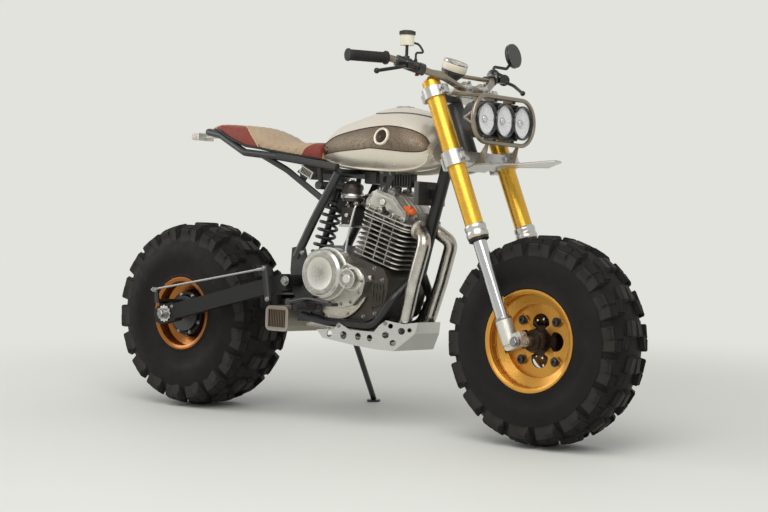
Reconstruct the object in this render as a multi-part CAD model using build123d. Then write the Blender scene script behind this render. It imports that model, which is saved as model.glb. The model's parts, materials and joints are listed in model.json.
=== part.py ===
"""Custom motorcycle on balloon tyres, modelled upright and then leant onto its side stand.

Upright frame, in millimetres: X forward, Y to the rider's left, Z up, with the origin on the
ground right below the rear axle. The side away from the stand is -Y.
"""
import os
from math import asin, atan2, cos, pi, radians, sin, sqrt, tan

from build123d import *

# ---- stance ----
WHEELBASE = 1450.0
LEAN = 3.7  # degrees to the left, onto the side stand
RAKE = 23.0  # steering axis from upright
FORK_SPACING = 276.0  # between the leg centres
AXLE_LEAD = 38.0  # front axle ahead of the leg centre-line
STEM_OFFSET = 35.0  # steering axis behind the leg centre-line
FIT = 0.05  # radial clearance of pins, bearings and pressed rings
SEAT_GAP = 0.3  # clearance between faces that rest on each other
RUN_GAP = 5.2  # clearance between pieces that move past each other

# ---- tyres and wheels ----
TYRE_RADIUS = 324.5  # to the flat of a centre lug
LUG_HEIGHT = 12.0
LUG_COUNT = 18  # each row
CENTRE_LUG_LENGTH = 46.0  # along the travel
SHOULDER_LUG_LENGTH = 37.0
CROWN_FLAT = 8.0  # half width of the flat on a centre lug
CENTRE_LUG_HALF = 36.0
CASING_WALL = 13.0
REAR_TYRE_WIDTH = 264.0
FRONT_TYRE_WIDTH = 216.0
REAR_RIM_RADIUS = 127.0  # rim flange
FRONT_RIM_RADIUS = 157.0
REAR_RIM_HALF = 118.0  # half width over the flanges
FRONT_RIM_HALF = 101.0
FLANGE_HEIGHT = 8.0
RIM_WALL = 5.0
RIM_DROP = 30.0  # depth of the well below the bead seat
AXLE_RADIUS = 10.0
FRONT_HUB_RADIUS = 30.0
FRONT_HUB_HALF = 88.0
REAR_HUB_RADIUS = 40.0
REAR_HUB_HALF = 96.0
SPIDER_THICKNESS = 8.0
WHEEL_BOLT_CIRCLE = 86.0  # radius
WHEEL_BOLTS = 4
DISC_RADIUS = 112.0
DISC_THICKNESS = 4.0
DISC_INNER = FRONT_HUB_HALF - 10 + FIT  # right face of the brake disc
CALIPER_REACH = (80.0, 130.0)  # from the axle
CALIPER_HALF_LENGTH = 42.0
CALIPER_WALL = 13.0  # each side of the disc's slot
CALIPER_TURN = 173.0  # degrees up from straight ahead of the axle
EAR_INBOARD = 22.0  # from the left leg to the caliper's seats
CALIPER_BOLTS = ((-38.0, 27.0), (-38.0, 63.0))  # ahead of and up the left leg

# ---- fork, distances up the legs from the foot of the axle's normal ----
OUTER_TUBE_RADIUS = 29.0
INNER_TUBE_RADIUS = 21.5
FORK_TOP = 876.0
UPPER_CLAMP_AT = 836.0
LOWER_CLAMP_AT = 613.0
OUTER_TUBE_END = 350.0
INNER_TUBE_END = 40.0
UPPER_CLAMP_THICKNESS = 34.0
LOWER_CLAMP_THICKNESS = 48.0
CLAMP_WALL = 9.0
STEM_RADIUS = 17.0
HEAD_TUBE_RADIUS = 32.0

# ---- frame ----
MAIN_TUBE = 14.5  # tube radii
DOWNTUBE = 20.0
BACKBONE_TUBE = 21.0
TUNNEL_GAP = 5.0  # round the backbone, in the tank
RAIL_TUBE = 12.5
BRACE_TUBE = 10.5
BRACE_HALF = 110.0  # centre of the rails' braces from the mid-plane
BOX_HALF = BRACE_HALF - BRACE_TUBE - SEAT_GAP
FRAME_HALF = 120.0  # centre of the cradle and seat tubes
PIVOT_AT = (550.0, 465.0)  # swingarm pivot, X and Z
PIVOT_TUBE = 20.0
PIVOT_PLATE = 8.0
SHOCK_TOP = (606.0, 786.0)
TIE_TUBE = 13.7
ARM_HEIGHT = 52.0
ARM_WIDTH = 36.0
ARM_AT = 178.0  # centre of each arm from the mid-plane
ARM_END = (88.0, 66.0)  # length and height of the block round the axle
CHAIN_AT = 147.0  # chain line from the mid-plane
CHAIN_WIDTH = 15.0
CHAIN_HEIGHT = 15.0
REAR_SPROCKET = 92.0  # pitch radii
FRONT_SPROCKET = 40.0
SPROCKET_THICKNESS = 6.0
COUNTERSHAFT_AT = (618.0, 470.0)

# ---- engine ----
CASE_HALF = 102.0
CYLINDER_TILT = 17.0
CYLINDER_AT = (825.0, 538.0)
CYLINDER_HEIGHT = 142.0
CASE_RIBS = (660.0, 690.0, 720.0, 750.0)
FIN_COUNT = 9
FIN_THICKNESS = 4.0
FIN_HALF_LENGTH = 96.0
FIN_HALF_WIDTH = 92.0
FIN_WEBS = (-46.0, 0.0, 46.0)  # ahead of the cylinder's axis
BARREL_RADIUS = 72.0
CLUTCH_AT = (686.0, 496.0)
CLUTCH_RADIUS = 81.0
DRIVE_CAP_AT = (794.0, 483.0)
PIPE_RADIUS = 22.0
INTAKE_RADIUS = 26.0
INTAKE_AT = CYLINDER_HEIGHT + 30.0  # up the cylinder's axis
INTAKE_END = (661.0, 728.0)
ROCKER_HALF = 78.0
CARB_DOME = (699.0, -46.0, 34.0)  # X, Y and radius
SPIGOT_REACH = 102.0
SKID_SHEET = 4.0
SKID_HALF = FRAME_HALF + MAIN_TUBE + SEAT_GAP + SKID_SHEET
SKID_CORNER = 905.0  # where the wings fold in towards the nose
SKID_TURN = 38.4  # degrees of that fold
SKID_HOLES = ((700, 299, 11), (760, 298, 13), (820, 298, 12), (868, 296, 11), (922, 309, 11),
              (934, 338, 8), (941, 284, 10), (962, 323, 11), (982, 327, 7))  # X, Z and radius
COOLER_BACK = 977.7

PLATE_SCREWS = 28.0  # between the number plate's two screws
PLATE_HOLE = 3.2

# ---- bars and controls ----
BAR_RADIUS = 11.0
BAR_KNEES = [(969, -420, 1176), (1017, -280, 1179), (1118, -130, 1130), (1139, -70, 1104)]
BAR_BENDS = [60, 40, 40, 40, 40, 60]
BRACE_AT = 186.0  # where the cross brace meets the bar, from the mid-plane
BRACE_RADIUS = 7.0
BAR_CLAMP_AT = 44.0
PERCH_AT = 240.0
PERCH_TOP = 1188.0
PERCH_X = 1050.0
CUP_AT = (1044.0, -232.0, 1238.0)  # middle of the fluid cup
CUP_RADIUS = 22.0
HOSE_RADIUS = 3.5
INLET_AT = -212.0

# ---- lamps and fender ----
CAGE_AT = (1262.0, 1002.0)
CAGE_HALF = 170.0
CAGE_RISE = 72.0
CAGE_TUBE = 7.0
LAMP_PITCH = 100.0
LAMP_RADIUS = 49.0
FENDER_TOP = 864.0
FENDER_SHEET = 3.0

# ---- bodywork ----
TANK_SECTIONS = ((590, 74, 874, 950), (680, 112, 852, 1003), (780, 138, 842, 1030), (870, 150, 836, 1046),
                 (956, 146, 836, 1033), (1018, 122, 846, 998), (1052, 84, 868, 938))
CAP_RADIUS = 27.0
CAP_FLOOR = 1028.0
SEAT_STATIONS = ((78, 62, 993), (129, 84, 996), (209, 98, 992), (265, 104, 987), (343, 108, 962),
                 (380, 110, 940), (462, 106, 931), (586, 92, 930))

# ---- frame points ----
SPLIT_AT = (960.0, 515.0)  # where the single downtube divides, X and Z
SEAT_CROSS = (690.0, 828.0)  # cross tube under the tank's tail
RAIL_POINTS = [(684, -112, 846), (426, -115, 880), (265, -105, 894), (129, -80, 954),
               (50, -66, 968), (38, -30, 969)]

# ---- exhaust ----
MUFFLER = (430.0, 530.0, -152.0, 70.0, 294.0, 378.0)
OUTLET_FRAME = 13.0  # round the silencer's slatted outlet
OUTLET_DEPTH = 9.0
OUTLET_SLATS = 9

# ---- foot controls ----
PEG_AT = (638.0, 385.0)  # X and Z
PEG_END = 245.0

# ---- side stand ----
STAND_PIVOT = (568.0, 148.0, 285.0)
STAND_FOOT = (460.0, 420.0)  # X and Y, upright frame
STAND_AXIS = (-0.41, 0.88, 0.22)  # over-centre: folding first lifts the machine
STAND_PIN = 6.0
STAND_TUBE = 10.0
STAND_FOOT_RADIUS = 24.0
STAND_FOOT_THICKNESS = 7.0


# ---- shapes ----
def tube(points, radius, bend=None):
    """A round bar or tube outline along straight runs, with a bend radius at each corner."""
    path = FilletPolyline(*points, radius=bend) if bend else Polyline(*points)
    return sweep(Plane(origin=path @ 0, z_dir=path % 0) * Circle(radius), path=path)


def rod(start, end, radius):
    """A straight cylinder between two points."""
    start, end = Vector(*start), Vector(*end)
    axis = end - start
    return Plane(origin=(start + end) / 2, z_dir=axis) * Cylinder(radius, axis.length)


def slab(outline, y_from, y_to):
    """A side outline of (x, z) points, made thick from y_from to y_to."""
    face = make_face(Polyline(*[(x, y_from, z) for x, z in outline], close=True))
    return extrude(face, amount=y_to - y_from, dir=(0, 1, 0))


def turned(outline):
    """A solid of revolution about the Y axis, from (radius, y) points."""
    return revolve(make_face(Polyline(*[(r, y, 0) for r, y in outline], close=True)), axis=Axis.Y)


def disc(radius, y_from, y_to):
    """A plain disc about the Y axis."""
    return Pos(0, (y_from + y_to) / 2, 0) * Rot(90, 0, 0) * Cylinder(radius, abs(y_to - y_from))


def ring(outer, inner, y_from, y_to):
    return disc(outer, y_from, y_to) - disc(inner, y_from - 1, y_to + 1)


def around(shape, count, first=0.0):
    """Copies of a shape spaced about the Y axis."""
    return [Rot(0, first + k * 360 / count, 0) * shape for k in range(count)]


def inside(plane, x, y, z):
    """The point at local (x, y, z) of a plane, as a tuple."""
    point = plane.origin + plane.x_dir * x + plane.y_dir * y + plane.z_dir * z
    return (point.X, point.Y, point.Z)


def block(x_from, x_to, y_from, y_to, z_from, z_to):
    return Pos((x_from + x_to) / 2, (y_from + y_to) / 2, (z_from + z_to) / 2) * Box(
        x_to - x_from, y_to - y_from, z_to - z_from)


def at(point, shape):
    return Pos(*point) * shape


# ---- places ----
AHEAD = Vector(cos(radians(RAKE)), 0, sin(radians(RAKE)))
UP_FORK = Vector(-sin(radians(RAKE)), 0, cos(radians(RAKE)))
FRONT_AXLE = Vector(WHEELBASE, 0, TYRE_RADIUS)
REAR_AXLE = Vector(0, 0, TYRE_RADIUS)
FORK = Plane(origin=FRONT_AXLE - AHEAD * AXLE_LEAD, x_dir=AHEAD, z_dir=UP_FORK)
LEG = FORK_SPACING / 2
CYLINDER = Plane(origin=(CYLINDER_AT[0], 0, CYLINDER_AT[1]),
                 x_dir=(cos(radians(CYLINDER_TILT)), 0, -sin(radians(CYLINDER_TILT))),
                 z_dir=(sin(radians(CYLINDER_TILT)), 0, cos(radians(CYLINDER_TILT))))


def ground(y):
    """Height of the floor in the upright frame, which the lean tips up towards the stand."""
    lean = radians(LEAN)
    return CROWN_FLAT * -tan(lean) + y * tan(lean)


# ---- wheels ----
def faceted(outline, sides):
    """A closed (radius, y) outline carried round the Y axis in flat facets, one of them straight down."""
    half = pi / sides
    rings = []
    for k in range(sides):
        angle = (2 * k + 1) * half - pi / 2
        rings.append([(r / cos(half) * cos(angle), y, r / cos(half) * sin(angle)) for r, y in outline])
    faces = []
    for near, far in zip(rings, rings[1:] + rings[:1]):
        for i in range(len(outline)):
            corners = (near[i - 1], near[i], far[i], far[i - 1])
            faces.append(make_face(Polyline(*corners, close=True)))
    return Solid(Shell(faces))


def casing(half, rim_radius, rim_half):
    """Hollow tyre carcass from bead to bead, with a facet under each lug."""
    bead = rim_radius - FLANGE_HEIGHT + SEAT_GAP
    seat = rim_half - 6
    base = TYRE_RADIUS - LUG_HEIGHT
    middle = (bead + base) / 2
    outer = [(bead, seat), (bead + 14, seat), (middle + 10, half), (base - 34, half * 0.90),
             (base - 2, half * 0.46)]
    inner = [(bead, seat - 16), (base - 40, half - 2 * CASING_WALL)]
    right = [(r, -y) for r, y in reversed(outer)]
    hollow = [(r, -y) for r, y in inner]
    return faceted(outer + right + hollow + inner[::-1], 2 * LUG_COUNT)


def centre_lug():
    """A block across the crown, with its flat at the tyre radius."""
    base = TYRE_RADIUS - LUG_HEIGHT - 6
    edge = TYRE_RADIUS - (CENTRE_LUG_HALF - CROWN_FLAT) * 0.09
    face = [(base, -CENTRE_LUG_HALF), (edge, -CENTRE_LUG_HALF), (TYRE_RADIUS, -CROWN_FLAT),
            (TYRE_RADIUS, CROWN_FLAT), (edge, CENTRE_LUG_HALF), (base, CENTRE_LUG_HALF)]
    return lug_block(face, CENTRE_LUG_LENGTH)


def shoulder_lug(half):
    """A block that wraps from the crown over the shoulder onto the sidewall."""
    base = TYRE_RADIUS - LUG_HEIGHT
    face = [(base - 12, half * 0.50), (TYRE_RADIUS - 5, half * 0.50), (TYRE_RADIUS - 14, half * 0.80),
            (base - 42, half + 4), (base - 58, half - 12)]
    return lug_block(face, SHOULDER_LUG_LENGTH)


def lug_block(face, length):
    """Extrudes a (radius, y) outline along the travel, centred on the +X spoke."""
    flat = make_face(Polyline(*[(r, y, -length / 2) for r, y in face], close=True))
    return extrude(flat, amount=length, dir=(0, 0, 1))


def tyre(half, rim_radius, rim_half):
    """Carcass with a centre row and two staggered shoulder rows, a centre lug straight down."""
    pitch = 360 / LUG_COUNT
    left = shoulder_lug(half)
    lugs = around(centre_lug(), LUG_COUNT, 90)
    lugs += around(left, LUG_COUNT, 90 + pitch / 2)
    lugs += around(mirror(left, about=Plane.XZ), LUG_COUNT, 90 + pitch / 2)
    return casing(half, rim_radius, rim_half).fuse(*lugs)


def rim(radius, half):
    """Rolled rim with a flange, bead seat and drop well, one wall thick."""
    seat = radius - FLANGE_HEIGHT
    well = seat - RIM_DROP
    over = [(radius, half), (radius, half - 5), (seat, half - 5), (seat, half * 0.62),
            (well, half * 0.48)]
    under = [(well - RIM_WALL, half * 0.48 - 1), (seat - RIM_WALL, half * 0.62 - 1),
             (seat - RIM_WALL, half - 4), (radius - RIM_WALL, half)]
    return turned(over + [(r, -y) for r, y in reversed(over)]
                  + [(r, -y) for r, y in reversed(under)] + under)


def spider(outer, y_from, y_to, hub_radius):
    """Wheel centre plate with a lobed opening between its bolts."""
    plate = ring(outer, hub_radius, y_from, y_to)
    lobe = Pos(54, 0, 0) * disc(30, y_from - 1, y_to + 1)
    plate = plate - disc(58, y_from - 1, y_to + 1)
    for cut in around(lobe, WHEEL_BOLTS):
        plate = plate - cut
    return plate


def front_wheel_centre():
    well = FRONT_RIM_RADIUS - FLANGE_HEIGHT - RIM_DROP - RIM_WALL
    return spider(well - FIT, -32, -32 + SPIDER_THICKNESS, FRONT_HUB_RADIUS)


def bored(shape):
    return shape - disc(AXLE_RADIUS + FIT, -400, 400)


def hub_arms(count, reach, width, y_from, y_to):
    """Flat radial arms on a hub."""
    arm = block(0, reach, min(y_from, y_to), max(y_from, y_to), -width / 2, width / 2)
    return around(arm, count, 45)


def front_hub():
    """Barrel with a four-armed carrier behind the centre plate and a disc carrier on the left."""
    back = -32 + SPIDER_THICKNESS + FIT
    body = disc(FRONT_HUB_RADIUS, -FRONT_HUB_HALF, FRONT_HUB_HALF - 6)
    body = body.fuse(*hub_arms(WHEEL_BOLTS, 100, 34, back, back + 12), disc(46, back, back + 12))
    body = body + disc(70, FRONT_HUB_HALF - 16, FRONT_HUB_HALF - 10)
    bolt = Pos(WHEEL_BOLT_CIRCLE, 0, 0) * disc(11, -32 - 8, -32 - FIT)
    return bored(body), around(bolt, WHEEL_BOLTS, 45)


def front_disc():
    """Brake disc on the left of the hub, drilled in two staggered rings."""
    y = DISC_INNER
    plate = ring(DISC_RADIUS, 50, y, y + DISC_THICKNESS)
    holes = around(Pos(86, 0, 0) * disc(4, y - 1, y + DISC_THICKNESS + 1), 16)
    holes += around(Pos(101, 0, 0) * disc(4, y - 1, y + DISC_THICKNESS + 1), 16, 11.25)
    return plate - holes


def front_caliper():
    """Brake caliper astride the disc behind the left leg, on two bosses."""
    near, far = CALIPER_REACH
    low, high = DISC_INNER - RUN_GAP, DISC_INNER + DISC_THICKNESS + RUN_GAP
    body = block(near, far, low - CALIPER_WALL, high + CALIPER_WALL, -CALIPER_HALF_LENGTH, CALIPER_HALF_LENGTH)
    body = fillet(body.edges().filter_by(Axis.Y), 12)
    body = at(FRONT_AXLE, Rot(0, -CALIPER_TURN, 0) * body - disc(DISC_RADIUS + RUN_GAP, low, high))
    ear = LEG - EAR_INBOARD
    for x, z in CALIPER_BOLTS:
        start, end = inside(FORK, x, high + 2, z), inside(FORK, x, ear - SEAT_GAP, z)
        body = body + rod(start, end, 8)
    return body


def rear_wheel_centre():
    well = REAR_RIM_RADIUS - FLANGE_HEIGHT - RIM_DROP - RIM_WALL
    return ring(well - FIT, REAR_HUB_RADIUS + FIT, -20, -20 + SPIDER_THICKNESS)


def rear_hub():
    """Hub barrel with its brake drum on the right and the sprocket carrier on the left."""
    body = disc(REAR_HUB_RADIUS, -58, CHAIN_AT - SPROCKET_THICKNESS / 2 - FIT)
    drum = ring(76, 66, -92, -50) + disc(76, -58, -50)
    return bored(body + drum)


def rear_sprocket():
    """Toothed ring bolted to the end of the hub, kept inside the chain's rollers."""
    y = CHAIN_AT - SPROCKET_THICKNESS / 2
    rim_radius = REAR_SPROCKET - CHAIN_HEIGHT / 2 - SEAT_GAP
    plate = disc(rim_radius, y, y + SPROCKET_THICKNESS)
    holes = around(Pos(62, 0, 0) * disc(13, y - 1, y + SPROCKET_THICKNESS + 1), 6)
    return bored(plate - holes)


# ---- fork and steering ----
def legs(radius, low, high):
    return [FORK * Pos(0, side * LEG, (low + high) / 2) * Cylinder(radius, high - low)
            for side in (-1, 1)]


def fork_outer_tubes():
    tubes = legs(OUTER_TUBE_RADIUS, OUTER_TUBE_END, FORK_TOP)
    seals = legs(OUTER_TUBE_RADIUS + 2.5, OUTER_TUBE_END, OUTER_TUBE_END + 10)
    caps = legs(OUTER_TUBE_RADIUS - 7, FORK_TOP, FORK_TOP + 8)
    bores = legs(INNER_TUBE_RADIUS + FIT, OUTER_TUBE_END - 1, OUTER_TUBE_END + 120)
    return [tubes[k] + seals[k] + caps[k] - bores[k] for k in (0, 1)]


def fork_inner_tubes():
    return legs(INNER_TUBE_RADIUS, INNER_TUBE_END, OUTER_TUBE_END + 119)


def fork_feet():
    """Cast lugs that clamp the axle ahead of each leg; the left one carries the caliper."""
    feet = []
    for side in (-1, 1):
        sleeve = Pos(0, side * LEG, 42) * Cylinder(INNER_TUBE_RADIUS + 5, 76)
        nose = Pos(AXLE_LEAD / 2, side * LEG, 8) * Box(AXLE_LEAD + 30, 34, 44)
        foot = sleeve + fillet(nose.edges().filter_by(Axis.Y), 9)
        if side > 0:
            for x, z in CALIPER_BOLTS:
                foot = foot + block(x - 9, -14, LEG - EAR_INBOARD, LEG - 4, z - 9, z + 9)
        foot = foot - Pos(0, side * LEG, 60) * Cylinder(INNER_TUBE_RADIUS + FIT, 60)
        hole = Pos(AXLE_LEAD, side * LEG, 0) * Rot(90, 0, 0) * Cylinder(AXLE_RADIUS + FIT, 80)
        feet.append(FORK * (foot - hole))
    return feet


def front_axle():
    reach = LEG + 26
    bar = disc(AXLE_RADIUS, -reach, reach)
    ends = disc(15, -reach - 9, -reach) + disc(15, reach, reach + 9)
    collar_end = LEG - 17 - SEAT_GAP
    collars = ring(17, AXLE_RADIUS - 1, FRONT_HUB_HALF + 1, collar_end)
    collars += ring(17, AXLE_RADIUS - 1, -collar_end, -FRONT_HUB_HALF - 1)
    return Pos(*FRONT_AXLE) * (bar + ends + collars)


def clamp(at, thickness, bridge):
    """A clamp plate across both legs, with a boss behind it for the stem."""
    plate = Pos(2, 0, at) * Box(bridge, FORK_SPACING, thickness * 0.8)
    plate = plate + Pos(-STEM_OFFSET, 0, at) * Cylinder(STEM_RADIUS + 12, thickness * 0.8)
    for side in (-1, 1):
        plate = plate + Pos(0, side * LEG, at) * Cylinder(OUTER_TUBE_RADIUS + CLAMP_WALL, thickness)
        plate = plate + Pos(-OUTER_TUBE_RADIUS - 10, side * (LEG - 8), at) * Box(24, 20, thickness * 0.8)
    for side in (-1, 1):
        plate = plate - Pos(0, side * LEG, at) * Cylinder(OUTER_TUBE_RADIUS + FIT, thickness + 2)
    plate = plate - Pos(-STEM_OFFSET, 0, at) * Cylinder(STEM_RADIUS + FIT, thickness + 2)
    return FORK * plate


def upper_clamp():
    return clamp(UPPER_CLAMP_AT, UPPER_CLAMP_THICKNESS, 44)


def lower_clamp():
    return clamp(LOWER_CLAMP_AT, LOWER_CLAMP_THICKNESS, 48)


HEAD_LOW = LOWER_CLAMP_AT + LOWER_CLAMP_THICKNESS * 0.4 + 1
HEAD_HIGH = UPPER_CLAMP_AT - UPPER_CLAMP_THICKNESS * 0.4 - 1


def steering_stem():
    low = LOWER_CLAMP_AT - LOWER_CLAMP_THICKNESS * 0.4
    high = UPPER_CLAMP_AT + UPPER_CLAMP_THICKNESS * 0.4
    stem = Pos(-STEM_OFFSET, 0, (low + high) / 2) * Cylinder(STEM_RADIUS, high - low)
    nut = Pos(-STEM_OFFSET, 0, high + 5.3) * Cylinder(STEM_RADIUS + 6, 10)
    neck = Pos(-STEM_OFFSET, 0, high + 5) * Cylinder(STEM_RADIUS - 4, 11)
    return FORK * (stem + neck + nut)


def mirrored(points):
    return points + [(x, -y, z) for x, y, z in reversed(points)]


def on_bar(y, segment=1):
    """The point of the bar's straight run at a distance y to the left, as a vector."""
    start, end = Vector(*BAR_KNEES[segment]), Vector(*BAR_KNEES[segment + 1])
    point = start + (end - start) * ((abs(y) + start.Y) / (start.Y - end.Y))
    return Vector(point.X, y, point.Z)


def bar_core(radius):
    return tube(mirrored(BAR_KNEES), radius, BAR_BENDS)


def brace_core(radius):
    return rod(on_bar(-BRACE_AT), on_bar(BRACE_AT), radius)


def handlebar():
    """Bent bar with its cross brace."""
    return bar_core(BAR_RADIUS) + brace_core(BRACE_RADIUS)


def bar_clamps():
    """Two blocks ahead of the upper clamp that grip the bar."""
    front = 2 + 44 / 2 + SEAT_GAP
    bar = Vector(*BAR_KNEES[3]) - FORK.origin
    reach, level = bar.dot(AHEAD), bar.dot(UP_FORK)
    blocks = []
    for side in (-1, 1):
        body = Pos((front + reach + 18) / 2, side * BAR_CLAMP_AT, level) * Box(reach + 18 - front, 30, 34)
        body = fillet(body.edges().filter_by(Axis.Y), 8)
        blocks.append(FORK * body - bar_core(BAR_RADIUS + FIT))
    return blocks


def grips():
    """Ribbed-grip volumes with a flange at each end."""
    end, knee = Vector(*BAR_KNEES[0]), Vector(*BAR_KNEES[1])
    way = (end - knee).normalized()
    grip = rod(knee + way * 20, end + way * 4, 16.5) + rod(end + way * 4, end + way * 9, 20)
    grip = grip + rod(knee + way * 14, knee + way * 20, 21) - rod(knee, end + way * 0.1, BAR_RADIUS + FIT)
    return [grip, mirror(grip, about=Plane.XZ)]


def perch_inlet():
    """Top of the right perch's inlet, where the cup's hose arrives."""
    foot = on_bar(INLET_AT)
    return (foot.X + 2, foot.Y, foot.Z + 24)


def hand_controls():
    """Lever perches and switch blocks round the bar, with both levers."""
    pieces = []
    for side in (-1, 1):
        body = rod(on_bar(side * (PERCH_AT + 24)), on_bar(side * (PERCH_AT - 34)), 18)
        boss = rod((PERCH_X, side * PERCH_AT, 1160), (PERCH_X, side * PERCH_AT, PERCH_TOP), 10)
        knuckle = block(1046, 1080, side * 254 - 16, side * 254 + 16, 1148, 1166)
        lever = tube([(1068, side * 256, 1157), (1082, side * 312, 1146), (1062, side * 402, 1127)],
                     5.5, 80) + Pos(1062, side * 402, 1127) * Sphere(9)
        if side < 0:
            x, y, z = perch_inlet()
            body = body + rod((x, y, z - 22), (x, y, z), 5.5)
        pieces.append(body + boss + knuckle + lever - bar_core(BAR_RADIUS + FIT))
    return pieces


def brake_reservoir():
    """Fluid cup with its lid and side fitting, on a stalk from the right perch."""
    x, y, z = CUP_AT
    cup = Pos(x, y, z) * Cylinder(CUP_RADIUS, 32) + rod((x, y, z - 4), (x, y + CUP_RADIUS + 5, z - 4), 6)
    lid = Pos(x, y, z + 16 + SEAT_GAP + 6) * Cylinder(CUP_RADIUS + 2, 12)
    stalk = rod((PERCH_X, -PERCH_AT, PERCH_TOP + SEAT_GAP), (PERCH_X, -PERCH_AT, z - 15), 5)
    return cup + stalk, lid


def hose_route():
    """From the cup's side fitting, round in a loop, down to the perch."""
    x, y, z = CUP_AT
    start = (x, y + CUP_RADIUS + 5 + SEAT_GAP, z - 4)
    inlet = perch_inlet()
    return [start, (x + 2, y + 60, z - 6), (x + 22, y + 60, z - 33), (inlet[0], inlet[1], inlet[2] + 20),
            (inlet[0], inlet[1], inlet[2] + SEAT_GAP)]


def brake_hose():
    """Feed hose of the brake, held at both ends."""
    return tube(hose_route(), HOSE_RADIUS, [12, 12, 9])


def mirror_left():
    """Round mirror on a cranked stem from the left perch."""
    head = Pos(1064, 332, 1246) * Rot(0, 78, 14) * Cylinder(41, 12)
    stem = tube([(PERCH_X, PERCH_AT, PERCH_TOP + SEAT_GAP), (PERCH_X, PERCH_AT, 1202),
                 (1062, 298, 1200), (1064, 322, 1222)], 5, 8)
    return stem + head


def gauge():
    """Instrument cup held on the brace."""
    x, z = on_bar(BRACE_AT).X, on_bar(BRACE_AT).Z
    cup = Pos(x + 4, -32, z + 22) * Rot(0, 20, 0) * (Cylinder(38, 34) + Pos(0, 0, -28) * Cone(20, 37, 22))
    return cup - brace_core(BRACE_RADIUS + FIT)


def stadium(x, half, rise):
    """A closed stadium path across the machine in the plane of the lamps."""
    z = CAGE_AT[1]
    flat = half - rise
    top = Line((x, -flat, z + rise), (x, flat, z + rise))
    left = ThreePointArc((x, flat, z + rise), (x, half, z), (x, flat, z - rise))
    base = Line((x, flat, z - rise), (x, -flat, z - rise))
    right = ThreePointArc((x, -flat, z - rise), (x, -half, z), (x, -flat, z + rise))
    return Wire([top.edge(), left.edge(), base.edge(), right.edge()])


def headlight_cage():
    """Tube ring round the lamps, with its arms, struts and folded bracket."""
    path = stadium(CAGE_AT[0], CAGE_HALF, CAGE_RISE)
    hoop = sweep(Plane(origin=path @ 0, z_dir=path % 0) * Circle(CAGE_TUBE), path=path)
    cage = hoop
    x, z = CAGE_AT
    for side in (-1, 1):
        cage = cage + rod((1124, side * 90, z + 82), (x, side * 90, z + CAGE_RISE), 6)
        for end in (-20, 20):
            cage = cage + rod((x, side * (CAGE_HALF - 2), z + end), (x - 34, side * (CAGE_HALF - 3), z), 4)
        sill = FENDER_TOP + SEAT_GAP
        foot = [(1214, sill), (1252, sill), (x + 4, z - CAGE_RISE), (x - 4, z - CAGE_RISE)]
        cage = cage + slab(foot, side * 84 - 2, side * 84 + 2)
    for side in (-1, 1):
        for way in (-1, 1):
            low = z + way * (LAMP_RADIUS + 8 + SEAT_GAP)
            clip = block(x - 34, x, side * LAMP_PITCH / 2 - 10, side * LAMP_PITCH / 2 + 10,
                         min(low, z + way * CAGE_RISE), max(low, z + way * CAGE_RISE))
            cage = cage + clip
    shelf = block(1214, 1252, -86, 86, FENDER_TOP + SEAT_GAP, FENDER_TOP + SEAT_GAP + 3)
    return cage + shelf


def lamp_housing():
    """Three lamp cans side by side on a backing plate."""
    x, z = CAGE_AT
    cans = [Pos(x - 26, k * LAMP_PITCH, z) * Rot(0, 90, 0) * Cylinder(LAMP_RADIUS + 3, 56)
            for k in (-1, 0, 1)]
    plate = block(x - 54, x - 14, -LAMP_PITCH, LAMP_PITCH, z - LAMP_RADIUS - 8, z + LAMP_RADIUS + 8)
    body = plate.fuse(*cans)
    for k in (-1, 0, 1):
        body = body - Pos(x, k * LAMP_PITCH, z) * Rot(0, 90, 0) * Cylinder(LAMP_RADIUS + FIT, 20)
    return body


def lamp_lenses():
    x, z = CAGE_AT
    return [Pos(x - 2, k * LAMP_PITCH, z) * Rot(0, 90, 0) * Cylinder(LAMP_RADIUS, 14) for k in (-1, 0, 1)]


def front_fender():
    """Bent plate bolted under the lower clamp, with a folded tip."""
    under = LOWER_CLAMP_AT - LOWER_CLAMP_THICKNESS * 0.4 - SEAT_GAP
    back, front = inside(FORK, -30, 0, under), inside(FORK, 16, 0, under)
    tongue = slab([(back[0], back[2]), (front[0], front[2]), (1214, FENDER_TOP),
                   (1214, FENDER_TOP - FENDER_SHEET), (front[0], front[2] - FENDER_SHEET),
                   (back[0], back[2] - FENDER_SHEET)], -60, 60)
    plate = block(1212, 1380, -92, 92, FENDER_TOP - FENDER_SHEET, FENDER_TOP)
    fold = Plane(origin=(1380, 0, FENDER_TOP - FENDER_SHEET), x_dir=(cos(radians(9)), 0, sin(radians(9))),
                 z_dir=(-sin(radians(9)), 0, cos(radians(9))))
    tip = fold * make_face(Polyline((-1, -92), (-1, 92), (80, 34), (92, -22), close=True))
    return tongue + plate + extrude(tip, amount=FENDER_SHEET, dir=fold.z_dir)


# ---- frame ----
def head_tube():
    low, high = HEAD_LOW, HEAD_HIGH
    body = Pos(-STEM_OFFSET, 0, (low + high) / 2) * Cylinder(HEAD_TUBE_RADIUS, high - low)
    return FORK * body


def head_bore():
    return FORK * Pos(-STEM_OFFSET, 0, (HEAD_LOW + HEAD_HIGH) / 2) * Cylinder(
        STEM_RADIUS + FIT, HEAD_HIGH - HEAD_LOW + 40)


def on_stem(distance):
    """A point on the steering axis, as a tuple."""
    return inside(FORK, -STEM_OFFSET, 0, distance)


def seat_tube(side, radius):
    h = FRAME_HALF
    return tube([(SEAT_CROSS[0], side * (h - 6), SEAT_CROSS[1]), (597, side * h, 666), (530, side * h, 545)],
                radius, 200)


def seat_cross(radius):
    x, z = SEAT_CROSS
    return rod((x, 6 - FRAME_HALF, z), (x, FRAME_HALF - 6, z), radius)


def backbone_points():
    return [on_stem(HEAD_HIGH - 60), (900, 0, 888), (SEAT_CROSS[0], 0, 846)]


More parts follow.
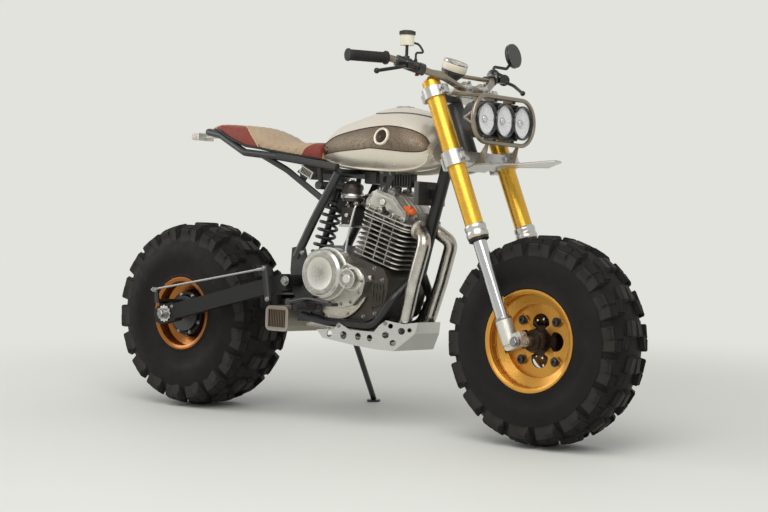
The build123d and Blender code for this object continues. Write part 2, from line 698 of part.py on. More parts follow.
def tank_sleeves():
    """Sleeves on the backbone that fill the tank's tunnel."""
    high, middle, rear = [Vector(*p) for p in backbone_points()]
    radius = BACKBONE_TUBE + TUNNEL_GAP - SEAT_GAP
    ahead, behind = high - middle, rear - middle
    return [rod(middle + ahead * 0.42, middle + ahead * 0.56, radius),
            rod(middle + behind * 0.60, middle + behind * 0.72, radius)]


def main_frame():
    """Backbone, downtube and cradle, seat tubes and pivot plates round the head tube."""
    h = FRAME_HALF
    frame = head_tube() + tube(backbone_points(), BACKBONE_TUBE, 200) + seat_cross(MAIN_TUBE)
    frame = frame.fuse(*tank_sleeves())
    down = [inside(FORK, -62, 0, 722), (1002, 0, 681), (SPLIT_AT[0], 0, SPLIT_AT[1])]
    frame = frame + tube(down, DOWNTUBE, 200)
    frame = frame + Pos(SPLIT_AT[0], 0, SPLIT_AT[1]) * Sphere(DOWNTUBE)
    frame = frame + block(COOLER_BACK + 12 + SEAT_GAP, 1024, -13, 13, 752, 782)
    for s in (-1, 1):
        cradle = tube([(SPLIT_AT[0], s * 4, SPLIT_AT[1]), (930, s * 104, 425), (870, s * h, 331),
                       (672, s * h, 337), (566, s * h, 352)], MAIN_TUBE, [50, 60, 120])
        plate = slab([(548, 332), (598, 332), (612, 400), (600, 480), (562, 585), (512, 575),
                      (508, 500), (520, 430), (546, 395)], s * h - PIVOT_PLATE / 2, s * h + PIVOT_PLATE / 2)
        hanger = slab([(580, 366), (592, 408), (636, 402), (656, 390), (644, 368)],
                      s * h - PIVOT_PLATE / 2, s * h + PIVOT_PLATE / 2)
        frame = frame + cradle + seat_tube(s, MAIN_TUBE) + plate + hanger
    frame = frame + rod((576, -h, 388), (576, h, 388), MAIN_TUBE - 2) + stand_bracket()
    pin = rod((PIVOT_AT[0], -200, PIVOT_AT[1]), (PIVOT_AT[0], 200, PIVOT_AT[1]), PIVOT_TUBE + FIT)
    return frame - head_bore() - pin


def subframe():
    """Seat rails joined round the tail, with a brace each side."""
    rails = tube(mirrored(RAIL_POINTS), RAIL_TUBE, [40, 40, 40, 24, 40, 40, 24, 40, 40, 40])
    for s in (-1, 1):
        brace = tube([(350, s * BRACE_HALF, 885), (464, s * BRACE_HALF, 836), (628, s * BRACE_HALF, 738)],
                     BRACE_TUBE, 200)
        rails = rails + brace + rod((SHOCK_TOP[0], s * 98, 788), (SHOCK_TOP[0], s * 108, 853), 9)
        rails = rails - seat_tube(s, MAIN_TUBE + FIT)
    tie = rod((SHOCK_TOP[0], -114, SHOCK_TOP[1]), (SHOCK_TOP[0], 114, SHOCK_TOP[1]), TIE_TUBE)
    return rails + tie - seat_cross(MAIN_TUBE + FIT)


def swingarm():
    """Two box arms on a pivot tube, with a cross member behind it."""
    rise = atan2(PIVOT_AT[1] - TYRE_RADIUS, PIVOT_AT[0])
    length = sqrt(PIVOT_AT[0] ** 2 + (PIVOT_AT[1] - TYRE_RADIUS) ** 2)
    arm_plane = Plane(origin=REAR_AXLE, x_dir=(cos(rise), 0, sin(rise)), z_dir=(-sin(rise), 0, cos(rise)))
    arm = rod((PIVOT_AT[0], -ARM_AT, PIVOT_AT[1]), (PIVOT_AT[0], ARM_AT, PIVOT_AT[1]), PIVOT_TUBE)
    arm = arm + arm_plane * Pos(462, 0, 0) * Box(40, 2 * ARM_AT, 44)
    for s in (-1, 1):
        arm = arm + arm_plane * Pos(496, s * 23, -10) * Box(50, 8, 26)
    for s in (-1, 1):
        beam = Pos((length + 20) / 2 - 34, s * ARM_AT, 0) * Box(length + 56, ARM_WIDTH, ARM_HEIGHT)
        beam = fillet(beam.edges().filter_by(Axis.Y), 16)
        end = Pos(4, s * ARM_AT, 0) * Box(ARM_END[0], ARM_WIDTH, ARM_END[1])
        arm = arm + arm_plane * (beam + fillet(end.edges().filter_by(Axis.Y), 14))
    for s in (-1, 1):
        arm = arm - rod((0, s * 150, TYRE_RADIUS), (0, s * 210, TYRE_RADIUS), AXLE_RADIUS + FIT)
    return arm


def rear_axle():
    """Axle bar, its spacers against the hub and its end nuts outside the arms."""
    inner, outer = ARM_AT - ARM_WIDTH / 2, ARM_AT + ARM_WIDTH / 2 + SEAT_GAP
    bar = disc(AXLE_RADIUS, -outer, outer)
    ends = disc(17, -outer - 12, -outer) + disc(17, outer, outer + 12)
    left = ring(18, AXLE_RADIUS - 1, CHAIN_AT + SPROCKET_THICKNESS / 2 + 1, inner - SEAT_GAP)
    right = ring(18, AXLE_RADIUS - 1, -inner + SEAT_GAP, -104)
    return Pos(*REAR_AXLE) * (bar + ends + left + right)


def rear_brake():
    """Plate that closes the drum with its cam, and the lever, rod and bell crank outside the arm."""
    plate = disc(62, -104 + SEAT_GAP, -94) + disc(40, -94, -64)
    plate = plate - disc(AXLE_RADIUS + FIT, -200, 0)
    cam = Pos(-20, 0, 42) * disc(8, -(ARM_AT + ARM_WIDTH / 2 + 14), -100)
    y = -(ARM_AT + ARM_WIDTH / 2 + 18)
    lever = slab([(-30, 360), (-10, 360), (-22, 412), (-36, 412)], y - 3, y + 3)
    run = rod((-29, y, 409), (470, y, 502), 3.5)
    crank = slab([(462, 512), (484, 512), (504, 398), (482, 394)], y - 4, y + 4)
    return Pos(*REAR_AXLE) * (plate + cam) + lever + run + crank


def shock():
    """Damper with its eyes and spring seats, and the spring as one grooved sleeve."""
    top, low = Vector(SHOCK_TOP[0], 0, SHOCK_TOP[1]), Vector(502, 0, 452)
    way = (top - low).normalized()
    body = rod(low, top - way * 14, 12) + rod(low + (0, -18, 0), low + (0, 18, 0), 13)
    body = body + rod(low + way * 80, low + way * 88, 38) + rod(top - way * 60, top - way * 50, 38)
    body = body + rod(top - way * 50, top - way * 14, 20)
    coil = rod(low + way * (88 + SEAT_GAP), top - way * (60 + SEAT_GAP), 36) - rod(low, top, 24)
    return body, coil


# ---- chain ----
def chain_loop(grow):
    """Outline of the chain run in side view, grown by a distance, as a face on the XZ plane."""
    big, small = REAR_SPROCKET + grow, FRONT_SPROCKET + grow
    x, z = COUNTERSHAFT_AT[0], COUNTERSHAFT_AT[1] - TYRE_RADIUS
    span = sqrt(x * x + z * z)
    slope = atan2(z, x)
    spread = asin((big - small) / span)
    points = []
    for sign in (1, -1):
        angle = slope + sign * (radians(90) - spread)
        points.append([(big * cos(angle), big * sin(angle)),
                       (x + small * cos(angle), z + small * sin(angle))])
    (top_rear, top_front), (low_rear, low_front) = points
    rear = (-big * cos(slope), -big * sin(slope))
    front = (x + small * cos(slope), z + small * sin(slope))
    corners = [(px, 0, pz + TYRE_RADIUS) for px, pz in (top_rear, top_front, front, low_front, low_rear, rear)]
    top_rear, top_front, front, low_front, low_rear, rear = corners
    edges = [Line(top_rear, top_front), ThreePointArc(top_front, front, low_front),
             Line(low_front, low_rear), ThreePointArc(low_rear, rear, top_rear)]
    return make_face(Wire([edge.edge() for edge in edges]))


def drive_chain():
    band = extrude(chain_loop(CHAIN_HEIGHT / 2), amount=CHAIN_WIDTH, dir=(0, 1, 0))
    band = band - extrude(chain_loop(-CHAIN_HEIGHT / 2), amount=CHAIN_WIDTH, dir=(0, 1, 0))
    return Pos(0, CHAIN_AT - CHAIN_WIDTH / 2, 0) * band


def engine_sprocket():
    """Output sprocket on its extended shaft, under the chain."""
    x, z = COUNTERSHAFT_AT
    radius = FRONT_SPROCKET - CHAIN_HEIGHT / 2 - SEAT_GAP
    wheel = rod((x, CHAIN_AT - SPROCKET_THICKNESS / 2, z), (x, CHAIN_AT + SPROCKET_THICKNESS / 2, z), radius)
    return wheel + rod((x, CASE_HALF + SEAT_GAP, z), (x, CHAIN_AT + 8, z), 14)


# ---- engine ----
def crankcase():
    """Case with its flange round the middle and ribs under the sides."""
    deck = [inside(CYLINDER, f, 0, 0) for f in (64, -140)]
    outline = [(600, 440), (628, 385), (668, 352), (820, 346), (880, 372), (903, 440), (903, 490)]
    outline += [(x, z) for x, y, z in deck] + [(640, 590), (600, 530)]
    case = fillet(slab(outline, -CASE_HALF, CASE_HALF).edges().filter_by(Axis.Y), 10)
    for side in (-1, 1):
        for x in CASE_RIBS:
            case = case + block(x - 3, x + 3, min(side * (CASE_HALF - 5), side * (CASE_HALF + 7)),
                                max(side * (CASE_HALF - 5), side * (CASE_HALF + 7)), 362, 384)
    return case


def clutch_cover():
    """Right-hand casing: a low flange over the train, the clutch dome and a small cover."""
    x, z = CLUTCH_AT
    y = -CASE_HALF - SEAT_GAP
    low = Pos(x, 0, z) * disc(CLUTCH_RADIUS + 4, y - 40, y)
    neck = slab([(x, z - 80), (745, 388), (797, 398), (832, 436), (843, 476), (836, 497), (808, 520),
                 (764, 534), (x, z + 80)], y - 40, y)
    cap = Pos(DRIVE_CAP_AT[0], 0, DRIVE_CAP_AT[1]) * disc(33, y - 74, y)
    dome = Pos(x, 0, z) * turned([(0, y), (CLUTCH_RADIUS, y), (CLUTCH_RADIUS, y - 74),
                                  (CLUTCH_RADIUS - 7, y - 82), (0, y - 82)])
    return low + neck + cap + dome


def alternator_cover():
    """Left-hand casing over the alternator."""
    y = CASE_HALF + SEAT_GAP
    cover = Pos(780, 0, 475) * turned([(0, y), (88, y), (88, y + 30), (70, y + 46), (0, y + 46)])
    return cover + Pos(868, 0, 470) * disc(30, y, y + 26)


def cylinder_block():
    """Finned barrel, with webs between the fins."""
    core = Pos(0, 0, (CYLINDER_HEIGHT + SEAT_GAP) / 2) * Cylinder(BARREL_RADIUS, CYLINDER_HEIGHT - SEAT_GAP)
    pitch = CYLINDER_HEIGHT / FIN_COUNT
    low, high = 0.7 * pitch, (FIN_COUNT - 0.3) * pitch
    web = Pos(0, 0, (low + high) / 2) * Box(FIN_THICKNESS, 2 * FIN_HALF_WIDTH - 8, high - low)
    extra = [Pos(x, 0, 0) * web for x in FIN_WEBS]
    for k in range(FIN_COUNT):
        fin = Pos(4, 0, (k + 0.7) * pitch) * Box(2 * FIN_HALF_LENGTH, 2 * FIN_HALF_WIDTH, FIN_THICKNESS)
        extra.append(fillet(fin.edges().filter_by(Axis.Z), 24))
    return CYLINDER * core.fuse(*extra)


def cylinder_head():
    """Finned head with its rocker cover, inspection caps, plug boss and intake spigot."""
    base = CYLINDER_HEIGHT + SEAT_GAP
    core = Pos(4, 0, base + 25) * Box(150, 140, 50)
    extra = [Pos(x, 0, base + 12) * Box(FIN_THICKNESS, 180, 24) for x in FIN_WEBS]
    for k in range(2):
        fin = Pos(6, 0, base + 4 + k * 14) * Box(196, 190, FIN_THICKNESS)
        extra.append(fillet(fin.edges().filter_by(Axis.Z), 22))
    roof = [(-96, base + 22), (-98, base + 44), (-84, base + 74), (-66, base + 88), (6, base + 88),
            (70, base + 52), (78, base + 22)]
    cover = slab(roof, -ROCKER_HALF, ROCKER_HALF)
    cover = fillet(cover.edges().filter_by(Axis.Y), 8)
    for y in (-42, 42):
        extra.append(Pos(74, y, base + 40) * Rot(0, 90, 0) * Cylinder(15, 18))
        extra.append(Pos(-30, y, base + 92) * Cylinder(19, 12))
    extra.append(rod((10, -60, base + 30), (10, -92, base + 30), 13))
    spigot = rod((-60, 0, INTAKE_AT), (-SPIGOT_REACH, 0, INTAKE_AT), INTAKE_RADIUS + 2)
    extra += [spigot, cover]
    return CYLINDER * core.fuse(*extra)


def carburettor():
    """Throat from the head's spigot, with the bowl under it and the slide's dome on top."""
    start = inside(CYLINDER, -SPIGOT_REACH - SEAT_GAP, 0, INTAKE_AT)
    knee = inside(CYLINDER, -SPIGOT_REACH - 14, 0, INTAKE_AT)
    throat = tube([start, knee, (INTAKE_END[0], 0, INTAKE_END[1])], INTAKE_RADIUS, 30)
    x, y, r = CARB_DOME
    bowl = block(x - 20, x + 34, y - 28, y + 58, 658, 716)
    roof = turned([(0, 0), (r, 0), (r, 44), (r - 5, 56), (r - 16, 66), (0, 71)])
    return throat + bowl + Pos(x, y, 736) * Rot(90, 0, 0) * roof


def air_filter():
    """Tapered pod on the end of the throat."""
    knee = Vector(*inside(CYLINDER, -SPIGOT_REACH - 14, 0, INTAKE_AT))
    end = Vector(INTAKE_END[0], 0, INTAKE_END[1])
    way = (end - knee).normalized()
    return Plane(origin=end + way * SEAT_GAP, z_dir=way) * Pos(0, 0, 16) * Cone(31, 36, 32)


def headers():
    """Two pipes from the head, down ahead of the engine and back under it."""
    pipes = []
    for s in (-1, 1):
        points = [inside(CYLINDER, 104 + SEAT_GAP, s * 44, 152), inside(CYLINDER, 124, s * 44, 152),
                  (1027, s * 74, 612), (990, s * 75, 482), (952, s * 64, 350), (905, s * 56, 303),
                  (700, s * 50, 316), (600, s * 48, 333), (MUFFLER[1] + SEAT_GAP, s * 48, 333)]
        pipes.append(tube(points, PIPE_RADIUS, [28, 34, 120, 80, 45, 120, 120]))
    return pipes


def muffler():
    """Transverse silencer box with a slatted outlet to the right."""
    x0, x1, y0, y1, z0, z1 = MUFFLER
    box = block(x0, x1, y0, y1, z0, z1)
    box = fillet(box.edges().filter_by(Axis.Y), 20)
    left, right = x0 + OUTLET_FRAME, x1 - OUTLET_FRAME
    low, high = z0 + OUTLET_FRAME, z1 - OUTLET_FRAME
    box = box - block(left, right, y0 - 1, y0 + OUTLET_DEPTH, low, high)
    pitch = (right - left) / (OUTLET_SLATS + 1)
    slat = block(left - 1.2, left + 1.2, y0 + 1.5, y0 + OUTLET_DEPTH + 1, low - 1, high + 1)
    return box.fuse(*[Pos(k * pitch, 0, 0) * slat for k in range(1, OUTLET_SLATS + 1)])


def skid_width(x, inset):
    """Half width of the skid plate at x, for its outside or inset by its thickness."""
    corner = SKID_CORNER - inset * tan(radians(SKID_TURN / 2))
    return SKID_HALF - inset - max(0, x - corner) * tan(radians(SKID_TURN))


def prow(inset):
    """Upright prism on the skid plate's plan, which narrows to the nose."""
    corner = SKID_CORNER - inset * tan(radians(SKID_TURN / 2))
    right = [(x, -skid_width(x, inset), 200) for x in (600, corner, 1012)]
    left = [(x, -y, z) for x, y, z in reversed(right)]
    return extrude(make_face(Polyline(*right, *left, close=True)), amount=300, dir=(0, 0, 1))


def skid_plate():
    """Folded sheet: bottom, wings that fold in to a raised nose, tabs on top and round holes."""
    outer = [(645, 310), (671, 284), (806, 268), (944, 258), (996, 316), (1003, 353), (965, 346),
             (922, 356), (884, 317), (786, 317), (737, 338), (719, 316)]
    inner = [(620, 314), (671, 288), (806, 272), (942, 262), (992, 318), (1012, 421), (700, 421)]
    shell = (slab(outer, -150, 150) & prow(0)) - (slab(inner, -150, 150) & prow(SKID_SHEET))
    for x, z, r in SKID_HOLES:
        lie = radians(SKID_TURN) if x > SKID_CORNER else 0
        way = Vector(sin(lie), cos(lie), 0) * 8
        middle = Vector(x, skid_width(x, 0), z)
        hole = rod(middle - way, middle + way, r)
        shell = shell - hole - mirror(hole, about=Plane.XZ)
    return shell


def oil_cooler():
    """Finned panel beside the downtubes."""
    return block(COOLER_BACK, COOLER_BACK + 12, -72, 72, 730, 806)


# ---- bodywork ----


def tank_section(x, half, low, high):
    """One closed outline across the tank: flat floor, bulged sides, crowned top."""
    rise = high - low
    side = [(half * 0.55, low), (half * 0.90, low + rise * 0.16), (half, low + rise * 0.42),
            (half * 0.86, low + rise * 0.70), (half * 0.46, low + rise * 0.94)]
    points = [(x, 0, low)] + [(x, y, z) for y, z in side] + [(x, 0, high)]
    points += [(x, -y, z) for y, z in reversed(side)]
    return make_face(Spline(*points, periodic=True))


def fuel_tank():
    """Teardrop tank that straddles the backbone in a tunnel."""
    body = loft([tank_section(*s) for s in TANK_SECTIONS])
    clear = BACKBONE_TUBE + TUNNEL_GAP
    high, middle, rear = backbone_points()
    tail = (560, 0, rear[2] - (rear[0] - 560) * (middle[2] - rear[2]) / (middle[0] - rear[0]))
    tunnel = tube([high, middle, tail], clear, 200)
    trench = slab([(500, 700), (1120, 700), (high[0], high[2]), (middle[0], middle[2]), (tail[0], tail[2]),
                   (500, tail[2])], -clear, clear)
    return body - tunnel - trench - cap_seat(CAP_RADIUS + FIT, 60)


def cap_seat(radius, depth):
    """A cylinder up from the filler's recess."""
    return Pos(872, 0, CAP_FLOOR + depth / 2) * Cylinder(radius, depth)


def tank_cap():
    return cap_seat(CAP_RADIUS, 18)


def rail_top(x):
    """Height of the seat's floor over the rails, with room for their bends."""
    knees = sorted(RAIL_POINTS, key=lambda p: p[0])
    for (x0, y0, z0), (x1, y1, z1) in zip(knees, knees[1:]):
        if x0 <= x <= x1:
            return z0 + (z1 - z0) * (x - x0) / (x1 - x0) + RAIL_TUBE * 1.1 + SEAT_GAP + 0.6
    return knees[-1][2]


def seat():
    """Plain upholstery volume over the rails."""
    faces = []
    for x, half, high in SEAT_STATIONS:
        low = rail_top(x)
        brow = high - (high - low) * 0.3
        faces.append(make_face(Polyline((x, -half, low), (x, half, low), (x, half, brow), (x, half * 0.7, high),
                                        (x, -half * 0.7, high), (x, -half, brow), close=True)))
    return loft(faces, ruled=True)


def tail_light():
    lamp = block(-58, -20, -40, 40, 940, 968)
    stay = block(-20, 48, -22, 22, 950, 969 - RAIL_TUBE - SEAT_GAP)
    for s in (-1, 1):
        stay = stay - rod((5, s * PLATE_SCREWS / 2, 945), (5, s * PLATE_SCREWS / 2, 965), PLATE_HOLE)
    return lamp + stay


def electrics_box():
    """Flat case across the frame, tipped towards the engine, on a tab to each brace."""
    case = slab([(499, 830), (527, 853), (581, 827), (557, 805)], -BOX_HALF, BOX_HALF)
    for s in (-1, 1):
        tab = [(512, 826), (516, 803), (532, 793), (544, 812)]
        case = case + slab(tab, min(s * BOX_HALF, s * (BOX_HALF - 5)), max(s * BOX_HALF, s * (BOX_HALF - 5)))
    return case


# ---- foot controls ----
def foot_pegs():
    start = FRAME_HALF + PIVOT_PLATE / 2 + SEAT_GAP
    return [rod((PEG_AT[0], s * start, PEG_AT[1]), (PEG_AT[0], s * PEG_END, PEG_AT[1]), 11) for s in (-1, 1)]


def brake_pedal():
    pivot = rod((560, -FRAME_HALF - 4.3, 396), (560, -192, 396), 12)
    arm = tube([(560, -186, 396), (648, -200, 412), (760, -216, 402)], 7, 200)
    pad = block(748, 786, -238, -204, 394, 404)
    return pivot + arm + pad


def gear_lever():
    shaft = rod((700, CASE_HALF + SEAT_GAP, 410), (700, 190, 410), 8)
    arm = tube([(700, 184, 410), (780, 196, 402), (830, 200, 402)], 6, 100)
    return shaft + arm + rod((830, 184, 402), (830, 232, 402), 8)


# ---- side stand ----
def stand_hinge(start, end, radius):
    """A cylinder on the stand's hinge line, between two distances from the pivot."""
    pivot, axis = Vector(*STAND_PIVOT), Vector(*STAND_AXIS).normalized()
    return rod(pivot + axis * start, pivot + axis * end, radius)


def stand_bracket():
    """Lug under the left cradle tube with the stand's pivot pin."""
    lug = block(556, 580, FRAME_HALF - 12, FRAME_HALF + 8, 270, 345)
    return lug + stand_hinge(-34, 13, STAND_PIN)


def side_stand():
    """Leg from its pivot to a round foot flat on the floor."""
    foot_z = ground(STAND_FOOT[1])
    foot = Vector(STAND_FOOT[0], STAND_FOOT[1], foot_z + STAND_TUBE)
    leg = rod(Vector(*STAND_PIVOT), foot, STAND_TUBE)
    eye = stand_hinge(-10, 10, STAND_PIN + 8)
    pad = Pos(STAND_FOOT[0], STAND_FOOT[1], foot_z) * Rot(LEAN, 0, 0) * Pos(
        0, 0, STAND_FOOT_THICKNESS / 2) * Cylinder(STAND_FOOT_RADIUS, STAND_FOOT_THICKNESS)
    return leg + eye + pad - stand_hinge(-16, 16, STAND_PIN + FIT)


hub, hub_bolts = front_hub()
shock_body, shock_spring = shock()
cup, lid = brake_reservoir()

NODES = {
    "main_frame": main_frame(),
    "subframe": subframe(),
    "swingarm": swingarm(),
    "rear_axle": rear_axle(),
    "rear_brake": rear_brake(),
    "shock_body": shock_body,
    "shock_spring": shock_spring,
    "drive_chain": drive_chain(),
    "engine_sprocket": engine_sprocket(),
    "crankcase": crankcase(),
    "engine_covers": [clutch_cover(), alternator_cover()],
    "cylinder_block": cylinder_block(),
    "cylinder_head": cylinder_head(),
    "carburettor": carburettor(),
    "air_filter": air_filter(),
    "exhaust_headers": headers(),
    "muffler": muffler(),
    "skid_plate": skid_plate(),
    "oil_cooler": oil_cooler(),
    "fuel_tank": fuel_tank(),
    "tank_cap": tank_cap(),
    "seat": seat(),
    "tail_light": tail_light(),
    "electrics_box": electrics_box(),
    "foot_pegs": foot_pegs(),
    "brake_pedal": brake_pedal(),
    "gear_lever": gear_lever(),
    "side_stand": side_stand(),
    "fork_outer_tubes": fork_outer_tubes(),
    "fork_inner_tubes": fork_inner_tubes(),
    "fork_feet": fork_feet(),
    "front_axle": front_axle(),
    "upper_clamp": [upper_clamp(), *bar_clamps()],
    "lower_clamp": lower_clamp(),
    "steering_stem": steering_stem(),
    "handlebar": handlebar(),
    "grips": grips(),
    "hand_controls": hand_controls(),
    "brake_reservoir": [cup, lid],
    "brake_hose": brake_hose(),
    "mirror": mirror_left(),
    "gauge": gauge(),
    "headlight_cage": headlight_cage(),
    "lamp_housing": lamp_housing(),
    "lamp_lenses": lamp_lenses(),
    "front_fender": front_fender(),
    "front_tyre": at(FRONT_AXLE, tyre(FRONT_TYRE_WIDTH / 2, FRONT_RIM_RADIUS, FRONT_RIM_HALF)),
    "front_rim": at(FRONT_AXLE, rim(FRONT_RIM_RADIUS, FRONT_RIM_HALF)),
    "front_wheel_centre": at(FRONT_AXLE, front_wheel_centre()),
    "front_hub": [at(FRONT_AXLE, piece) for piece in [hub, *hub_bolts]],
    "front_disc": at(FRONT_AXLE, front_disc()),
    "front_caliper": front_caliper(),
    "rear_tyre": at(REAR_AXLE, tyre(REAR_TYRE_WIDTH / 2, REAR_RIM_RADIUS, REAR_RIM_HALF)),
    "rear_rim": at(REAR_AXLE, rim(REAR_RIM_RADIUS, REAR_RIM_HALF)),
    "rear_hub": [at(REAR_AXLE, piece) for piece in (rear_hub(), rear_wheel_centre())],
    "rear_sprocket": at(REAR_AXLE, rear_sprocket()),
}


def solids_of(shape):
    """The solids of a shape or of a list of shapes."""
    shapes = shape if isinstance(shape, (list, tuple)) else [shape]
    return [solid for item in shapes for solid in item.solids()]


def main():
    """Leans the whole machine, puts its box's bottom centre at the origin and writes each node."""
    os.makedirs("parts", exist_ok=True)
    tip = Rot(-LEAN, 0, 0)
    leant = {name: Compound([tip * solid for solid in solids_of(shape)]) for name, shape in NODES.items()}
    boxes = [shape.bounding_box() for shape in leant.values()]
    x = (min(b.min.X for b in boxes) + max(b.max.X for b in boxes)) / 2
    y = (min(b.min.Y for b in boxes) + max(b.max.Y for b in boxes)) / 2
    z = min(b.min.Z for b in boxes)
    for name, shape in leant.items():
        export_step(Pos(-x, -y, -z) * shape, f"parts/{name}.step")
    print(f"shift {-x:.4f} {-y:.4f} {-z:.4f}")
    print(f"brake_hose radius {HOSE_RADIUS} mm")


main()
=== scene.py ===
import json
from math import acos, atan2, cos, degrees, pi, radians, sin, sqrt, tan

import bmesh
import bpy
from bpy.props import FloatProperty, FloatVectorProperty, IntProperty, PointerProperty
from mathutils import Matrix, Vector
from mathutils.bvhtree import BVHTree


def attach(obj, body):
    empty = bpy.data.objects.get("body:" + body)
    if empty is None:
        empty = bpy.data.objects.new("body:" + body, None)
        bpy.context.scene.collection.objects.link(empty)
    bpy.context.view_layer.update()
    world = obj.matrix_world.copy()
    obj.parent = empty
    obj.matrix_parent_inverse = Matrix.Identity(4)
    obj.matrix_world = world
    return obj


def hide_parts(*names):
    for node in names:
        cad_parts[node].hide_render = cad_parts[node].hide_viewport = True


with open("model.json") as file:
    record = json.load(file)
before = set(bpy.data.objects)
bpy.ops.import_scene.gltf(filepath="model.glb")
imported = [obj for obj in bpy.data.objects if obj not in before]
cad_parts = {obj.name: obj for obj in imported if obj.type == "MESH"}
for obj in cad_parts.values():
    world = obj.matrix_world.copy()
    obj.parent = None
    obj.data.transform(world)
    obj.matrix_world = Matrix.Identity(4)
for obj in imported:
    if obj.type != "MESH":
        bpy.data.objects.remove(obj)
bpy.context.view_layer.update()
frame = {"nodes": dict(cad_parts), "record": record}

bl_info = {
    "name": "Custom Motorcycle",
    "version": (1, 0, 0),
    "blender": (4, 5, 0),
    "location": "3D View > Sidebar > Motorcycle",
    "description": "Finishes a custom motorcycle: tyres, saddle, tank, engine, controls and lamps",
    "category": "Object",
}

NODES = frame["nodes"]
JOINTS = {joint["name"]: joint for joint in frame["record"]["behaviour"]["joints"]}

# ---- the leaning machine's own frame: origin on the ground under the rear axle, metres ----
TYRE_RADIUS = 0.3245
WHEELBASE = (Vector(JOINTS["front_wheel"]["pos_m"]) - Vector(JOINTS["rear_wheel"]["pos_m"])).length
LEFT = Vector(JOINTS["rear_wheel"]["axis"]).normalized()
UP = Vector((1, 0, 0)).cross(LEFT)
LEANT = (Matrix.Translation(JOINTS["rear_wheel"]["pos_m"])
         @ Matrix((Vector((1, 0, 0)), LEFT, UP)).transposed().to_4x4()
         @ Matrix.Translation((0, 0, -TYRE_RADIUS)))
UPRIGHT = LEANT.inverted()
FRONT_AXLE = Vector((WHEELBASE, 0, TYRE_RADIUS))
REAR_AXLE = Vector((0, 0, TYRE_RADIUS))


def own_frame(ahead, up, origin):
    """The place of a sub-assembly whose local X and Z run along two directions of the machine."""
    place = Matrix((ahead, Vector((0, 1, 0)), up)).transposed().to_4x4()
    place.translation = origin
    return place


# the fork: local Z runs up its legs, which stand a little behind the axle
RAKE = radians(23)
LEG_OUT = 0.138
LEG_BEHIND_AXLE = 0.038
AHEAD = Vector((cos(RAKE), 0, sin(RAKE)))
UP_FORK = Vector((-sin(RAKE), 0, cos(RAKE)))
FORK = own_frame(AHEAD, UP_FORK, FRONT_AXLE - AHEAD * LEG_BEHIND_AXLE)

# the cylinder: local Z runs up its bore, and HEAD is how far up its head begins
TILT = radians(17)
BORE_FOOT = (0.825, 0, 0.538)
CYLINDER = own_frame(Vector((cos(TILT), 0, -sin(TILT))), Vector((sin(TILT), 0, cos(TILT))), BORE_FOOT)
HEAD = 0.1423


# ---- shapes, all in the machine's own frame ----
def turn(axis, angle):
    """A turn about one of the axes, in degrees."""
    return Matrix.Rotation(radians(angle), 4, axis)


def moved(point):
    """A place at a point, square to the machine."""
    return Matrix.Translation(point)


def facing(direction, at=(0, 0, 0)):
    """A place whose local Z points along a direction."""
    matrix = Vector(direction).to_track_quat("Z", "Y").to_matrix().to_4x4()
    matrix.translation = at
    return matrix


def side_on(y):
    """A place whose local X and Y are the machine's X and Z, at a distance y to the left."""
    return Matrix(((1, 0, 0, 0), (0, 0, 1, y), (0, 1, 0, 0), (0, 0, 0, 1)))


ACROSS = facing((0, 1, 0))


def meshes(count):
    """Empty meshes to build some pieces in."""
    return [bmesh.new() for _ in range(count)]


def add(bm, verts, faces, place=None):
    """Adds vertices and faces to a mesh, moved to a place."""
    made = [bm.verts.new(place @ Vector(v) if place else v) for v in verts]
    for face in faces:
        try:
            bm.faces.new([made[i] for i in face])
        except ValueError:
            pass


def lathe(bm, outline, place=None, steps=48, closed=False):
    """Turns (radius, height) points about the local Z axis."""
    verts = []
    for k in range(steps):
        a = 2 * pi * k / steps
        verts += [(r * cos(a), r * sin(a), h) for r, h in outline]
    n = len(outline)
    faces = []
    for k in range(steps):
        j = (k + 1) % steps
        for i in range(n if closed else n - 1):
            m = (i + 1) % n
            faces.append((k * n + i, j * n + i, j * n + m, k * n + m))
    add(bm, verts, faces, place)


def capped(radius, low, high, soft=0.0):
    """Outline of a solid drum with eased rims."""
    if soft:
        return [(0, low), (radius - soft, low), (radius, low + soft), (radius, high - soft),
                (radius - soft, high), (0, high)]
    return [(0, low), (radius, low), (radius, high), (0, high)]


def drum(bm, start, end, radius, steps=24, soft=0.0, far=None):
    """A straight bar between two points; far gives a second radius at its end."""
    start, end = Vector(start), Vector(end)
    length = (end - start).length
    outline = capped(radius, 0, length, soft)
    if far is not None:
        outline = [(0, 0), (radius, 0), (far, length), (0, length)]
    lathe(bm, outline, facing(end - start, start), steps)


def box(bm, size, place=None, soft=0.0):
    """A box centred on a place, with eased edges."""
    part = bmesh.new()
    bmesh.ops.create_cube(part, size=1.0)
    bmesh.ops.scale(part, vec=size, verts=part.verts)
    if soft:
        bmesh.ops.bevel(part, geom=part.edges[:], offset=soft, segments=2, affect="EDGES", profile=0.6)
    merge(bm, part, place)


def block(bm, low, high, soft=0.0):
    """A box between two corners."""
    low, high = Vector(low), Vector(high)
    box(bm, high - low, moved((low + high) / 2), soft)


def merge(bm, part, place=None):
    """Adds one mesh to another and frees it."""
    if place:
        bmesh.ops.transform(part, matrix=place, verts=part.verts)
    data = bpy.data.meshes.new("part")
    part.to_mesh(data)
    part.free()
    bm.from_mesh(data)
    bpy.data.meshes.remove(data)


